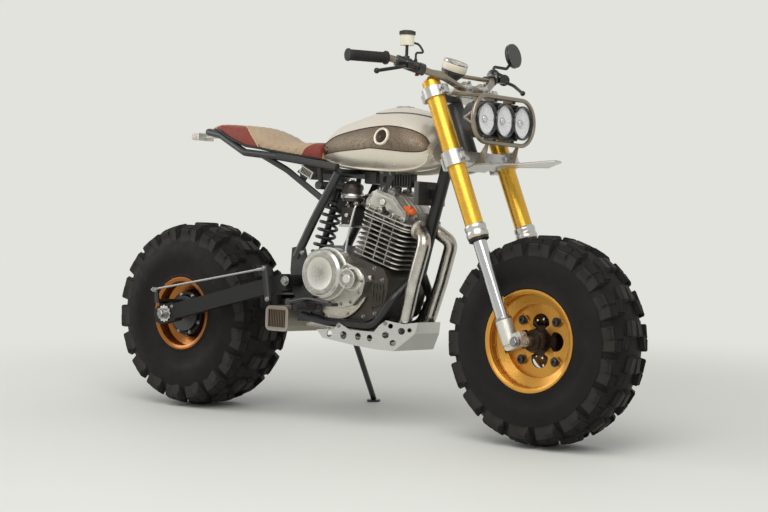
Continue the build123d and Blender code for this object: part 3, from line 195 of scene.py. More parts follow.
def rounded(points, bend, closed=False):
    """A path of straight runs with its corners rounded."""
    points = [Vector(p) for p in points]
    if not bend:
        return points
    out = [] if closed else [points[0]]
    n = len(points)
    for i in (range(n) if closed else range(1, n - 1)):
        before, at, after = points[i - 1], points[i], points[(i + 1) % n]
        a, b = (before - at), (after - at)
        reach = min(bend, a.length * 0.48, b.length * 0.48)
        p, q = at + a.normalized() * reach, at + b.normalized() * reach
        for k in range(7):
            t = k / 6
            out.append(p * (1 - t) ** 2 + at * 2 * t * (1 - t) + q * t * t)
    if not closed:
        out.append(points[-1])
    return out


def tube(bm, points, radius, bend=0.0, steps=16, closed=False):
    """A round tube along a path."""
    path = rounded(points, bend, closed)
    n = len(path)
    ahead = []
    for i in range(n):
        a = path[(i - 1) % n] if (closed or i) else path[i]
        b = path[(i + 1) % n] if (closed or i < n - 1) else path[i]
        ahead.append((b - a).normalized())
    side = ahead[0].orthogonal().normalized()
    rings = []
    for i in range(n):
        if i:
            side = (ahead[i - 1].rotation_difference(ahead[i]) @ side).normalized()
        up = ahead[i].cross(side)
        rings.append([bm.verts.new(path[i] + side * x + up * y) for x, y in circle(radius, steps=steps)])
    spans = n if closed else n - 1
    for i in range(spans):
        a, b = rings[i], rings[(i + 1) % n]
        for k in range(steps):
            bm.faces.new((a[k], a[(k + 1) % steps], b[(k + 1) % steps], b[k]))
    if not closed:
        bm.faces.new(rings[0][::-1])
        bm.faces.new(rings[-1])


def plate(bm, outline, thick, place=None, holes=(), soft=0.0):
    """A flat sheet cut to an outline of (x, y) points, with holes, standing on the local XY plane."""
    curve = bpy.data.curves.new("cut", "CURVE")
    curve.dimensions = "2D"
    curve.fill_mode = "BOTH"
    curve.extrude = thick / 2 - soft
    curve.bevel_depth = soft
    curve.bevel_resolution = 1
    curve.offset = -soft
    for loop in [outline, *holes]:
        spline = curve.splines.new("POLY")
        spline.points.add(len(loop) - 1)
        for point, (x, y) in zip(spline.points, loop):
            point.co = (x, y, 0, 1)
        spline.use_cyclic_u = True
    holder = bpy.data.objects.new("cut", curve)
    data = bpy.data.meshes.new_from_object(holder)
    part = bmesh.new()
    part.from_mesh(data)
    bmesh.ops.remove_doubles(part, verts=part.verts, dist=1e-6)
    merge(bm, part, place)
    bpy.data.objects.remove(holder)
    bpy.data.curves.remove(curve)
    bpy.data.meshes.remove(data)


def circle(radius, x=0.0, y=0.0, steps=24, first=0.0):
    """Points round a circle, from an angle in radians."""
    return [(x + radius * cos(2 * pi * k / steps + first), y + radius * sin(2 * pi * k / steps + first))
            for k in range(steps)]


def oblong(half_long, half_wide):
    """Corners of an oblong round its middle."""
    return [(x * half_long, y * half_wide) for x, y in ((-1, -1), (1, -1), (1, 1), (-1, 1))]


def bolt(bm, at, direction, size=0.006, height=0.006, socket=False, washer=True):
    """A hexagon or socket-head bolt whose head stands up along a direction."""
    place = facing(direction, at)
    if washer:
        lathe(bm, capped(size * 1.35, 0, size * 0.22, size * 0.05), place, 24)
    low = size * 0.22 if washer else 0
    if socket:
        lathe(bm, [(0, low), (size * 0.95, low), (size * 0.95, low + height - size * 0.12),
                   (size * 0.83, low + height), (size * 0.5, low + height)], place, 24)
        lathe(bm, [(size * 0.5, low + height), (size * 0.45, low + height * 0.4), (0, low + height * 0.4)],
              place, 6)
    else:
        lathe(bm, [(0, low), (size, low), (size, low + height * 0.85), (size * 0.86, low + height),
                   (0, low + height * 1.04)], place, 6)


def piece(name, bm, body, finish, sharp=40, replaces=()):
    """Makes a shown piece of a mesh built in the machine's own frame, riding on a body."""
    bmesh.ops.recalc_face_normals(bm, faces=bm.faces)
    data = bpy.data.meshes.new(name)
    bm.to_mesh(data)
    bm.free()
    data.transform(LEANT)
    data.polygons.foreach_set("use_smooth", [True] * len(data.polygons))
    data.set_sharp_from_angle(angle=radians(sharp))
    obj = bpy.data.objects.new(name, data)
    bpy.context.scene.collection.objects.link(obj)
    finishes = [finish] if isinstance(finish, str) else finish
    for each in finishes:
        data.materials.append(use(each))
    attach(obj, body)
    if replaces:
        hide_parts(*replaces)
    return obj


# ---- finishes ----
MADE = {}


def shader(name, colour, rough, metal=0.0, **sockets):
    """A new material's nodes and its shader, whose sockets are set by name."""
    made = bpy.data.materials.new(name)
    MADE[name] = made
    made.use_nodes = True
    skin = made.node_tree.nodes["Principled BSDF"]
    skin.inputs["Base Color"].default_value = (*colour[:3], 1)
    skin.inputs["Roughness"].default_value = rough
    skin.inputs["Metallic"].default_value = metal
    for key, value in sockets.items():
        skin.inputs[key.replace("_", " ")].default_value = value
    made.diffuse_color = (*colour[:3], 1)
    return made.node_tree, skin


def node(tree, kind, **values):
    """Adds a node; values set its own settings or, by name, its sockets."""
    made = tree.nodes.new(kind)
    for key, value in values.items():
        if hasattr(made, key):
            setattr(made, key, value)
        else:
            made.inputs[key.replace("_", " ")].default_value = value
    return made


def spot(tree, stretch=(1, 1, 1), turned=(0, 0, 0)):
    """Coordinates fixed to the machine, stretched along some axes."""
    where = node(tree, "ShaderNodeTexCoord")
    move = node(tree, "ShaderNodeMapping", Scale=stretch, Rotation=turned)
    tree.links.new(where.outputs["Object"], move.inputs["Vector"])
    return move.outputs["Vector"]


def within(tree, value, low, high):
    """Maps a range of a value to 0..1."""
    spread = node(tree, "ShaderNodeMapRange", From_Min=low, From_Max=high)
    tree.links.new(value, spread.inputs["Value"])
    return spread.outputs["Result"]


def mottle(tree, size, low=0.3, high=0.7, detail=5.0, where=None):
    """Cloudy values from 0 to 1; size is how many clouds fit in a metre."""
    cloud = node(tree, "ShaderNodeTexNoise", Scale=size, Detail=detail, Roughness=0.6)
    tree.links.new(where or spot(tree), cloud.inputs["Vector"])
    return within(tree, cloud.outputs["Fac"], low, high)


def cells(tree, size, where, edge, **values):
    """Cells fitted together: 0 in the gaps between them, rising to 1 at a distance from the gap."""
    made = node(tree, "ShaderNodeTexVoronoi", feature="DISTANCE_TO_EDGE", Scale=size, **values)
    tree.links.new(where, made.inputs["Vector"])
    return within(tree, made.outputs["Distance"], 0, edge)


def blend(tree, factor, first, second):
    """Mixes two colours, each a value or a socket."""
    mix = node(tree, "ShaderNodeMix", data_type="RGBA")
    tree.links.new(factor, mix.inputs[0])
    for place, tone in ((6, first), (7, second)):
        if isinstance(tone, bpy.types.NodeSocket):
            tree.links.new(tone, mix.inputs[place])
        else:
            mix.inputs[place].default_value = (*tone[:3], 1)
    return mix.outputs[2]


def between(tree, value, low, high):
    """Maps 0..1 to a range."""
    spread = node(tree, "ShaderNodeMapRange", To_Min=low, To_Max=high)
    tree.links.new(value, spread.inputs["Value"])
    return spread.outputs["Result"]


def relief(tree, skin, layers):
    """Stacks bumps on a shader; each layer is a height, its depth in metres and its strength."""
    normal = None
    for height, depth, strength in layers:
        bump = node(tree, "ShaderNodeBump", Strength=strength, Distance=depth)
        tree.links.new(height, bump.inputs["Height"])
        if normal:
            tree.links.new(normal, bump.inputs["Normal"])
        normal = bump.outputs["Normal"]
    tree.links.new(normal, skin.inputs["Normal"])


def dress(tree, skin, tone, gloss, layers):
    """Joins a finish's colour, uneven gloss and relief to its shader."""
    tree.links.new(tone, skin.inputs["Base Color"])
    tree.links.new(gloss, skin.inputs["Roughness"])
    relief(tree, skin, layers)


def darker(colour, by):
    """A colour scaled by a factor, which may also lighten it."""
    return tuple(c * by for c in colour[:3])


def edges_worn(tree, colour, worn, low=0.53, high=0.6):
    """Lighter colour on sharp edges, where paint and plating rub through."""
    shape = node(tree, "ShaderNodeNewGeometry")
    return blend(tree, within(tree, shape.outputs["Pointiness"], low, high), colour, worn)


def painted(name, colour, rough=0.42, metal=0.0, deep=0.72, cloud=9.0, peel=420.0, worn=None, coat=0.15,
            spread=0.1, **sockets):
    """Paint or plating: faint clouds of tone, uneven gloss, orange peel and rubbed edges."""
    tree, skin = shader(name, colour, rough, metal, Coat_Weight=coat, Coat_Roughness=0.2, **sockets)
    tone = blend(tree, mottle(tree, cloud), darker(colour, deep), colour)
    if worn:
        tone = edges_worn(tree, tone, worn)
    gloss = between(tree, mottle(tree, cloud * 4), rough - spread, rough + spread)
    dress(tree, skin, tone, gloss, [(mottle(tree, peel, 0.2, 0.8), 0.0004, 0.25)])


def cast(name, colour, rough=0.5, metal=0.9, deep=0.55, grain=900.0, **sockets):
    """Sand-cast metal: fine grain, oily shadows in its hollows, bright rubbed edges."""
    tree, skin = shader(name, colour, rough, metal, **sockets)
    oil = tuple(c * deep * warm for c, warm in zip(colour[:3], (1.0, 0.92, 0.8)))
    tone = blend(tree, mottle(tree, 24, 0.36, 0.6, 8), oil, colour)
    tone = blend(tree, mottle(tree, 150, 0.38, 0.62), darker(colour, 0.62), tone)
    tone = edges_worn(tree, tone, tuple(min(1, c * 1.3) for c in colour[:3]), 0.51, 0.58)
    gloss = between(tree, mottle(tree, 60), rough - 0.12, rough + 0.14)
    dress(tree, skin, tone, gloss, [(mottle(tree, grain), 0.0005, 0.35), (mottle(tree, 45), 0.0012, 0.15)])


def brushed(name, colour, rough=0.32, along="z", deep=0.8, metal=1.0, lines=900.0, **sockets):
    """Machined or drawn metal: fine lines along one axis and a faint haze."""
    tree, skin = shader(name, colour, rough, metal, **sockets)
    scale = {"x": (0.02, 1, 1), "y": (1, 0.02, 1), "z": (1, 1, 0.02)}[along]
    fine = mottle(tree, lines, 0.3, 0.7, 3, spot(tree, scale))
    tone = blend(tree, fine, darker(colour, deep), colour)
    tone = blend(tree, mottle(tree, 14, 0.3, 0.8), darker(colour, 0.85), tone)
    dress(tree, skin, tone, between(tree, fine, rough - 0.07, rough + 0.1), [(fine, 0.0002, 0.12)])


def moulded(name, colour, rough=0.55, grain=700.0, depth=0.0003, deep=0.7, **sockets):
    """Moulded rubber or plastic with a fine grain and a little dust."""
    tree, skin = shader(name, colour, rough, 0.0, **sockets)
    tone = blend(tree, mottle(tree, 18), darker(colour, deep), colour)
    gloss = between(tree, mottle(tree, 70), rough - 0.1, rough + 0.12)
    dress(tree, skin, tone, gloss, [(mottle(tree, grain, 0.25, 0.75), depth, 0.4)])


def tyre_rubber(colour, dust):
    """Black rubber: greyer, drier rubber outside, scuffs on the tread and mould lines round the wall."""
    tree, skin = shader("tyre_rubber", colour, 0.66, 0.0, Specular_IOR_Level=0.18)
    tone = blend(tree, mottle(tree, 7, 0.3, 0.75), darker(colour, 0.6), colour)
    tone = blend(tree, mottle(tree, 60, 0.62, 1.0), tone, dust)
    tone = edges_worn(tree, tone, dust, 0.55, 0.68)
    gloss = between(tree, mottle(tree, 30), 0.5, 0.72)
    dress(tree, skin, tone, gloss, [(mottle(tree, 520), 0.0006, 0.35), (mottle(tree, 55), 0.0016, 0.2)])


def leather(name, colour, deep=0.6, creases=75.0, sheen=0.15):
    """Hide: pebbled grain, soft creases and worn, slightly polished high spots."""
    tree, skin = shader(name, colour, 0.52, 0.0, Sheen_Weight=sheen, Sheen_Roughness=0.4,
                        Specular_IOR_Level=0.4)
    pore = cells(tree, 620.0, spot(tree), 0.22)
    fold = mottle(tree, creases, 0.35, 0.7, 8)
    tone = blend(tree, mottle(tree, 11, 0.3, 0.75), darker(colour, deep), colour)
    tone = blend(tree, fold, darker(colour, 0.82), tone)
    tone = blend(tree, pore, darker(colour, 0.7), tone)
    gloss = between(tree, mottle(tree, 26), 0.42, 0.64)
    dress(tree, skin, tone, gloss, [(pore, 0.0004, 0.45), (fold, 0.0012, 0.25)])


# heights over which the headers' heat tints come in, straw first and then blue
STRAW_FROM, STRAW_TO = 0.5, 0.72
BLUE_FROM, BLUE_TO = 0.69, 0.76


def heated_tube(colour, straw, blue):
    """Stainless pipe, coloured by heat where it leaves the head."""
    tree, skin = shader("heated_stainless", colour, 0.26, 1.0)
    where = node(tree, "ShaderNodeTexCoord")
    split = node(tree, "ShaderNodeSeparateXYZ")
    tree.links.new(where.outputs["Object"], split.inputs[0])
    tone = blend(tree, within(tree, split.outputs["Z"], STRAW_FROM, STRAW_TO), colour, straw)
    tone = blend(tree, within(tree, split.outputs["Z"], BLUE_FROM, BLUE_TO), tone, blue)
    tone = blend(tree, mottle(tree, 35, 0.35, 0.7), darker(colour, 0.7), tone)
    fine = mottle(tree, 700, 0.3, 0.7, 3, spot(tree, (1, 1, 0.05)))
    dress(tree, skin, tone, between(tree, fine, 0.18, 0.36), [(fine, 0.0002, 0.1)])


def scaled_metal(colour, line):
    """The tank's side band: small scales hammered in rows, dark between them."""
    tree, skin = shader("scaled_metal", colour, 0.34, 0.8)
    scales = cells(tree, 230.0, spot(tree, (1, 1, 0.7), (0, radians(12), 0)), 0.16, Randomness=0.45)
    tone = blend(tree, mottle(tree, 8, 0.3, 0.7), darker(colour, 0.6), colour)
    tone = blend(tree, scales, line, tone)
    dress(tree, skin, tone, between(tree, mottle(tree, 90), 0.28, 0.5), [(scales, 0.0006, 0.5)])


def clear_glass(name, tint, rough=0.02, ribs=0.0, body=1.0):
    """Thin clear glass or plastic; body is how much of its own colour shows."""
    tree, skin = shader(name, tint, rough, 0.0, Alpha=body, Specular_IOR_Level=0.8)
    film = mottle(tree, 30, 0.4, 0.8)
    tree.links.new(between(tree, film, rough, rough + 0.05), skin.inputs["Roughness"])
    if ribs:
        relief(tree, skin, [(mottle(tree, ribs, 0.3, 0.7, 2), 0.0008, 0.3)])


# ---- settings ----
def srgb(red, green, blue):
    """A colour as it is seen, in linear values."""
    return tuple(c / 12.92 if c <= 0.04045 else ((c + 0.055) / 1.055) ** 2.4
                 for c in (red / 255, green / 255, blue / 255))


def colour(label, what, *seen):
    """A colour setting whose default is given as it is seen, 0 to 255."""
    return FloatVectorProperty(name=label, description=what, subtype="COLOR", size=3, min=0, max=1,
                               default=srgb(*seen))


class MotorcycleColours(bpy.types.PropertyGroup):
    """Colours of the machine's finishes."""
    black: colour("Black", "Satin black on the frame, levers and small parts", 27, 26, 26)
    gold: colour("Gold", "Anodised gold on the fork tubes", 236, 182, 58)
    rim: colour("Rim gold", "Anodised gold on the front rim", 220, 160, 66)
    copper: colour("Copper", "Anodised orange on the rear rim", 170, 104, 38)
    champagne: colour("Champagne", "Metallic paint on the tank", 242, 233, 216)
    band: colour("Band", "Hammered band along the tank's sides", 150, 134, 114)
    pewter: colour("Pewter", "Bars and lamp cage", 156, 145, 129)
    bronze: colour("Bronze", "Dull bronze on the silencer and fender tip", 132, 116, 98)
    carrier: colour("Carrier", "Brown bronze of the front wheel's carrier", 70, 52, 38)
    casting: colour("Casting", "Cast aluminium of the engine and fork feet", 196, 193, 184)
    machined: colour("Machined", "Bright machined aluminium", 224, 223, 218)
    steel: colour("Steel", "Bolts, rods and discs", 168, 167, 164)
    stainless: colour("Stainless", "Exhaust headers", 214, 210, 202)
    chrome: colour("Chrome", "Fork sliding tubes", 222, 222, 220)
    rubber: colour("Rubber", "Tyres", 32, 29, 27)
    dust: colour("Dust", "Dry film on the tread", 58, 55, 51)
    red: colour("Red leather", "Sides and nose of the saddle", 144, 52, 34)
    tan: colour("Tan leather", "Quilted top of the saddle", 198, 171, 138)
    cream: colour("Cream", "Badge ring and fluid cup", 226, 218, 196)
    maroon: colour("Maroon", "Anodised small parts on the controls", 96, 24, 26)
    orange: colour("Orange", "Wires and plugs", 226, 96, 26)
    skirt: colour("Lower cover", "Light casting under the clutch", 214, 208, 194)
    # the crankcase colour also serves as painted shade on the barrel's core between its fins
    case: colour("Crankcase", "Dark, weathered castings of the engine", 70, 65, 59)
    straw: colour("Straw tint", "Headers where they are warm", 196, 180, 156)
    blue: colour("Blue tint", "Headers where they leave the head", 132, 116, 104)
    tail: colour("Tail lens", "Lens of the tail lamp", 206, 192, 190)
    glass: FloatVectorProperty(name="Glass", description="Lamp and gauge glass", subtype="COLOR", size=3,
                               min=0, max=1, default=(0.97, 0.98, 1.0))


class MotorcycleShape(bpy.types.PropertyGroup):
    """Counts and sizes of the repeated details."""
    lug_count: IntProperty(name="Tread pitches", description="Lugs round each row of a tyre", default=18,
                           min=12)
    lug_height: FloatProperty(name="Lug height", description="How far lugs stand off the casing",
                              default=0.012, unit="LENGTH")
    quilt_pitch: FloatProperty(name="Quilt pitch", description="Distance between the saddle's stitched lines",
                               default=0.034, unit="LENGTH")


class MotorcycleStudio(bpy.types.PropertyGroup):
    """Floor, light and view."""
    floor: colour("Floor", "Studio floor", 220, 221, 214)
    backdrop: colour("Backdrop", "What the view shows behind the floor", 226, 227, 220)
    light: FloatProperty(name="Soft light", description="Strength of the light from all round", default=0.62)
    key: FloatProperty(name="Key light", description="Power of the large light overhead", default=88.0,
                       unit="POWER")
    lens: FloatProperty(name="Lens", description="Focal length", default=82.8, subtype="DISTANCE_CAMERA")


class Step:
    """What every operator of the panel shares."""
    bl_options = {"REGISTER", "UNDO"}

    def execute(self, context):
        self.make(context.scene)
        return {"FINISHED"}


def use(name):
    """A finish made by the first operator."""
    return MADE[name]


# which finish each CAD node takes
FINISH = {
    "satin_black": ["main_frame", "subframe", "shock_body", "foot_pegs", "brake_pedal", "gear_lever",
                    "lamp_housing", "mirror", "gauge", "steering_stem", "front_caliper",
                    "engine_sprocket", "side_stand", "electrics_box", "rear_brake"],
    "black_plastic": ["air_filter", "oil_cooler"],
    "grip_rubber": ["grips", "brake_hose"],
    "gold_anodised": ["fork_outer_tubes"],
    "rim_gold": ["front_rim", "front_wheel_centre"],
    "rim_copper": ["rear_rim"],
    "chrome": ["fork_inner_tubes"],
    "cast_aluminium": ["fork_feet"],
    "worn_cast": ["cylinder_block", "cylinder_head"],
    "case_dark": ["crankcase", "carburettor"],
    "machined_aluminium": ["engine_covers", "upper_clamp", "lower_clamp", "front_fender", "skid_plate"],
    "black_cast": ["swingarm", "rear_hub"],
    "steel": ["rear_axle", "front_axle", "front_disc", "rear_sprocket"],
    "dark_steel": ["drive_chain", "shock_spring"],
    "champagne": ["fuel_tank", "tank_cap"],
    "pewter": ["handlebar", "headlight_cage"],
    "carrier_bronze": ["front_hub"],
    "heated_stainless": ["exhaust_headers"],
    "tyre_rubber": ["front_tyre", "rear_tyre"],
    "red_leather": ["seat"],
    "bronze_plate": ["muffler"],
    "lever_black": ["hand_controls"],
    "cream_plastic": ["brake_reservoir"],
    "lamp_glass": ["lamp_lenses"],
    "tail_lens": ["tail_light"],
}


class MOTORCYCLE_OT_finishes(Step, bpy.types.Operator):
    """Makes every finish and gives each carried-over part its own."""
    bl_idname = "motorcycle.finishes"
    bl_label = "Finishes"

    def make(self, scene):
        c = scene.motorcycle_colours
        painted("satin_black", c.black, 0.38, worn=darker(c.steel, 0.1), peel=380)
        painted("gloss_black", darker(c.black, 0.5), 0.16, coat=0.8, peel=200)
        painted("lever_black", darker(c.black, 0.8), 0.34, 0.3, worn=darker(c.steel, 0.14))
        painted("gold_anodised", c.gold, 0.28, 0.72, deep=0.92, peel=700, coat=0.3)
        painted("rim_gold", c.rim, 0.34, 0.8, deep=0.9, peel=700, coat=0.25)
        painted("rim_copper", c.copper, 0.3, 0.85, deep=0.86, peel=700, coat=0.3)
        painted("champagne", c.champagne, 0.3, 0.6, deep=0.93, cloud=4, peel=900, coat=0.4, spread=0.04)
        painted("pewter", c.pewter, 0.32, 0.85, deep=0.8, peel=700, worn=c.champagne)
        painted("champagne_light", darker(c.champagne, 0.9), 0.34, 0.6, deep=0.9, cloud=5, coat=0.4)
        painted("bronze_plate", c.bronze, 0.38, 0.7, deep=0.8, worn=darker(c.champagne, 0.42))
        painted("carrier_bronze", c.carrier, 0.42, 0.75, deep=0.65)
        painted("maroon_anodised", c.maroon, 0.28, 0.8, deep=0.75, coat=0.4)
        # dark_grey also paints the shadow in the gaps round the tank's top cover and filler
        painted("dark_grey", darker(c.casting, 0.1), 0.5, 0.3, worn=darker(c.casting, 0.2))
        cast("cast_aluminium", c.casting, 0.42, 0.8, deep=0.45)
        cast("worn_cast", c.casting, 0.38, 0.85, deep=0.16)
        cast("skirt_cast", c.skirt, 0.36, 0.6, deep=0.55)
        # case_dark also paints the shade on the barrel's core between its fins
        cast("case_dark", c.case, 0.4, 0.7, deep=0.35)
        cast("black_cast", darker(c.black, 1.2), 0.46, 0.5, deep=0.7)
        # dark_cast also fills the crankcase's pockets as painted shade
        cast("dark_cast", darker(c.casting, 0.22), 0.5, 0.7, deep=0.6)
        brushed("machined_aluminium", c.machined, 0.3, "x")
        brushed("steel", c.steel, 0.3, "y", deep=0.7)
        brushed("dark_steel", darker(c.steel, 0.28), 0.4, "y", deep=0.6)
        brushed("chrome", c.chrome, 0.07, "z", deep=0.96, lines=300)
        heated_tube(c.stainless, c.straw, c.blue)
        scaled_metal(c.band, darker(c.band, 0.38))
        tyre_rubber(c.rubber, c.dust)
        moulded("black_plastic", darker(c.black, 0.85), 0.5)
        moulded("grip_rubber", darker(c.rubber, 1.3), 0.62, 900, 0.0004)
        moulded("hose_rubber", darker(c.rubber, 0.6), 0.44, 500, 0.0002)
        moulded("cream_plastic", c.cream, 0.38, 500, 0.0001, 0.9)
        moulded("orange_wire", c.orange, 0.42, 500, 0.0001, 0.8)
        leather("red_leather", c.red)
        leather("tan_leather", c.tan)
        moulded("thread", [min(1, v * 1.15) for v in c.tan], 0.7, 3000, 0.0004, 0.7)
        clear_glass("lamp_glass", c.glass, body=0.12)
        clear_glass("tail_lens", c.tail, 0.14, 900, 0.85)
        # matt white, not mirror metal: the reflectors' bright reflection is painted in as their own colour
        brushed("reflector", (1.0, 1.0, 1.0), 0.34, "x", deep=0.97, metal=0.0, Coat_Weight=0.4)
        for finish, nodes in FINISH.items():
            for name in nodes:
                if name in NODES:
                    NODES[name].data.materials.clear()
                    NODES[name].data.materials.append(use(finish))


# ---- tyres ----
LUG_SOFT = 0.0028
LUG_DIMPLE_DEPTH = 0.0022
RIB_LEAN = -5


def lug(bm, place, half_along, faces, spread=0.0025, dimple=0.0):
    """A rounded tread block of (radius, across, foot) points, flared at its foot and dimpled on top."""
    n = len(faces)
    ring = []
    for sign in (-1, 1):
        for radius, across, foot in faces:
            along = (half_along + (spread if foot else 0)) * sign
            ring.append((along, across, radius))
    sides = [tuple(range(n))[::-1], tuple(range(n, 2 * n))]
    walls = [(i, (i + 1) % n, n + (i + 1) % n, n + i) for i in range(n)]
    part = bmesh.new()
    add(part, ring, sides + walls)
    bmesh.ops.recalc_face_normals(part, faces=part.faces)
    feet = {round(r, 6) for r, _, foot in faces if foot}
    top = max(part.faces, key=lambda f: f.calc_center_median().z)
    if dimple:
        bmesh.ops.inset_individual(part, faces=[top], thickness=dimple, depth=-LUG_DIMPLE_DEPTH)
    edges = [e for e in part.edges if not all(round(v.co.z, 6) in feet for v in e.verts)]
    bmesh.ops.bevel(part, geom=edges, offset=LUG_SOFT, segments=2, affect="EDGES", clamp_overlap=True)
    merge(bm, part, place)


def casing_outline(half, seat_radius, seat_half, base):
    """Right half of a balloon tyre's outline, from the bead outside to the middle of the crown."""
    top = base - 0.002
    middle = (seat_radius + top) / 2
    return [(seat_radius, seat_half - 0.001), (seat_radius + 0.0085, seat_half),
            (seat_radius + 0.011, seat_half + 0.004), (seat_radius + 0.015, seat_half + 0.0045),
            (seat_radius + 0.019, seat_half + 0.0025),
            (middle - 0.034, half * 0.9), (middle - 0.022, half * 0.955), (middle - 0.008, half - 0.0035),
            (middle + 0.006, half - 0.003), (middle + 0.018, half - 0.0055), (middle + 0.03, half * 0.935),
            (top - 0.052, half * 0.9), (top - 0.028, half * 0.8), (top - 0.012, half * 0.62),
            (top - 0.004, half * 0.38), (top, 0)]


def crown_at(outline, across):
    """Radius of the casing at a distance from its middle, outside its widest ring."""
    crown = [p for p in outline if p[0] > outline[7][0]]
    for (r0, y0), (r1, y1) in zip(crown, crown[1:]):
        if y1 <= across <= y0:
            return r1 + (r0 - r1) * (across - y1) / (y0 - y1)
    return crown[-1][0]


def lug_place(centre, angle, lean):
    """Where a lug stands at an angle round a tyre, turned a little from the running direction."""
    return moved(centre) @ turn("Y", angle + 180) @ turn("Z", lean)


def tread(bm, outline, half, count, centre):
    """Blocky tread: pairs on the crown, side blocks, and long shoulder lugs with short ones between."""
    top = TYRE_RADIUS

    def block_row(inner, outer, along, shift, inner_drop, outer_drop, lean=0.0, dimple=0.0):
        """One row each side; the drops are how far its top lies under the tyre's full radius."""
        low_inner, low_outer = crown_at(outline, inner) - 0.006, crown_at(outline, outer) - 0.006
        for sign in (-1, 1):
            for k in range(count):
                angle = 360 * (k + shift * sign) / count
                face = [(low_inner, inner * sign, True), (top - inner_drop, inner * sign, False),
                        (top - outer_drop, outer * sign, False), (low_outer, (outer + 0.002) * sign, True)]
                lug(bm, lug_place(centre, angle, lean * sign), along / 2, face, dimple=dimple)

    pitch = 2 * pi * top / count
    block_row(half * 0.03, half * 0.28, pitch * 0.44, 0.0, 0.0003, 0.0012, 6)
    block_row(half * 0.37, half * 0.62, pitch * 0.36, 0.5, 0.0016, 0.0075, 14, 0.009)
    block_row(half * 0.66, half * 0.9, pitch * 0.38, 0.0, 0.009, 0.023, RIB_LEAN, 0.01)
    block_row(half * 0.7, half * 0.88, pitch * 0.34, 0.5, 0.01, 0.0225, 4, 0.01)


def shoulder_ribs(bm, half, count, centre):
    """Short ribs running from each shoulder lug down the wall."""
    radius = TYRE_RADIUS - 0.03
    across = half * 0.86
    pitch = 2 * pi * TYRE_RADIUS / count
    for sign in (-1, 1):
        face = [(radius - 0.03, half * 0.9 * sign, True), (radius - 0.004, (across + 0.01) * sign, False),
                (radius + 0.006, (across + 0.0045) * sign, False), (radius - 0.002, half * 0.7 * sign, True)]
        for k in range(count):
            lug(bm, lug_place(centre, 360 * k / count, RIB_LEAN * sign), pitch * 0.15, face, 0.001)


def tyre(name, node, body, centre, half, rim_radius, rim_half, shape):
    """A balloon off-road tyre: smooth ringed walls under rows of chunky blocks."""
    bm = bmesh.new()
    outline = casing_outline(half, rim_radius, rim_half, TYRE_RADIUS - shape.lug_height)
    inner = [(rim_radius - 0.002, rim_half - 0.012), (rim_radius + 0.03, half * 0.8),
             (TYRE_RADIUS - 0.05, half * 0.7), (TYRE_RADIUS - 0.03, 0)]
    loop = outline + [(r, -y) for r, y in reversed(outline[:-1])]
    loop += [(r, -y) for r, y in inner] + [(r, y) for r, y in reversed(inner[:-1])]
    wheel_ring(bm, centre, loop, 144)
    tread(bm, outline, half, shape.lug_count, centre)
    shoulder_ribs(bm, half, shape.lug_count, centre)
    piece(name, bm, body, "tyre_rubber", 30, [node])


class MOTORCYCLE_OT_tyres(Step, bpy.types.Operator):
    """Builds both tyres in place of the plain ones."""
    bl_idname = "motorcycle.tyres"
    bl_label = "Tyres"

    def make(self, scene):
        shape = scene.motorcycle_shape
        tyre("front_tyre_tread", "front_tyre", "front_wheel", FRONT_AXLE, 0.108, 0.1493, 0.095, shape)
        tyre("rear_tyre_tread", "rear_tyre", "rear_wheel", REAR_AXLE, 0.132, 0.1193, 0.112, shape)


# ---- reading the plain part's surfaces ----
def surface(*names):
    """The surface of some CAD nodes in the machine's own frame, to lay trim on."""
    bm = bmesh.new()
    for name in names:
        part = bmesh.new()
        part.from_mesh(NODES[name].data)
        merge(bm, part, UPRIGHT @ NODES[name].matrix_world)
    tree = BVHTree.FromBMesh(bm)
    bm.free()
    return tree


def laid(tree, x, z, side=-1, lift=0.0):
    """The point of a surface seen from one side at (x, z), lifted off along its normal."""
    where, normal, _, _ = tree.ray_cast(Vector((x, side * 0.4, z)), Vector((0, -side, 0)))
    if where is None:
        where, normal, _, _ = tree.find_nearest(Vector((x, side * 0.16, z)))
    if normal.y * side < -0.2:
        normal = -normal
    return where + normal * lift, normal


def on_side(tree, points, side, lift):
    """Some (x, z) points laid on one side of a surface."""
    return [laid(tree, p.x, p.y, side, lift)[0] for p in points]


def travelled(path):
    """Distance along a path from its start to each of its points."""
    gone = [0.0]
    for a, b in zip(path, path[1:]):
        gone.append(gone[-1] + (b - a).length)
    return gone


def spaced(path, count, closed=False):
    """Points at even steps along a path, which on a closed one leave out the last."""
    gone = travelled(path)
    out, i = [], 0
    for k in range(count):
        want = gone[-1] * k / (count if closed else count - 1)
        while i < len(gone) - 2 and gone[i + 1] < want:
            i += 1
        span = gone[i + 1] - gone[i]
        out.append(path[i].lerp(path[i + 1], (want - gone[i]) / span if span else 0))
    return out


def along(points, count):
    """Evenly spaced points on a smooth curve through some (x, z) points."""
    knots = [Vector(p) for p in points]
    ends = [knots[0] * 2 - knots[1]] + knots + [knots[-1] * 2 - knots[-2]]
    fine = []
    for a, b, c, d in zip(ends, ends[1:], ends[2:], ends[3:]):
        for k in range(12):
            t = k / 12
            fine.append(0.5 * (2 * b + (c - a) * t + (2 * a - 5 * b + 4 * c - d) * t * t
                               + (3 * b - a - 3 * c + d) * t ** 3))
    fine.append(knots[-1])
    return spaced(fine, count)


def sheet(bm, grid):
    """A surface through a grid of points."""
    rows = [[bm.verts.new(p) for p in row] for row in grid]
    for a, b in zip(rows, rows[1:]):
        for i in range(len(a) - 1):
            bm.faces.new((a[i], a[i + 1], b[i + 1], b[i]))
    return rows


# ---- wheel trim ----
def wheel_ring(bm, centre, outline, steps=96):
    """A closed (radius, y) outline turned about an axle."""
    lathe(bm, outline, moved(centre) @ ACROSS, steps, closed=True)


def spokewise(centre, radius, y, angle):
    """The point at a radius and an angle in degrees round an axle, moved y to the left."""
    a = radians(angle)
    return Vector(centre) + Vector((radius * cos(a), y, radius * sin(a)))


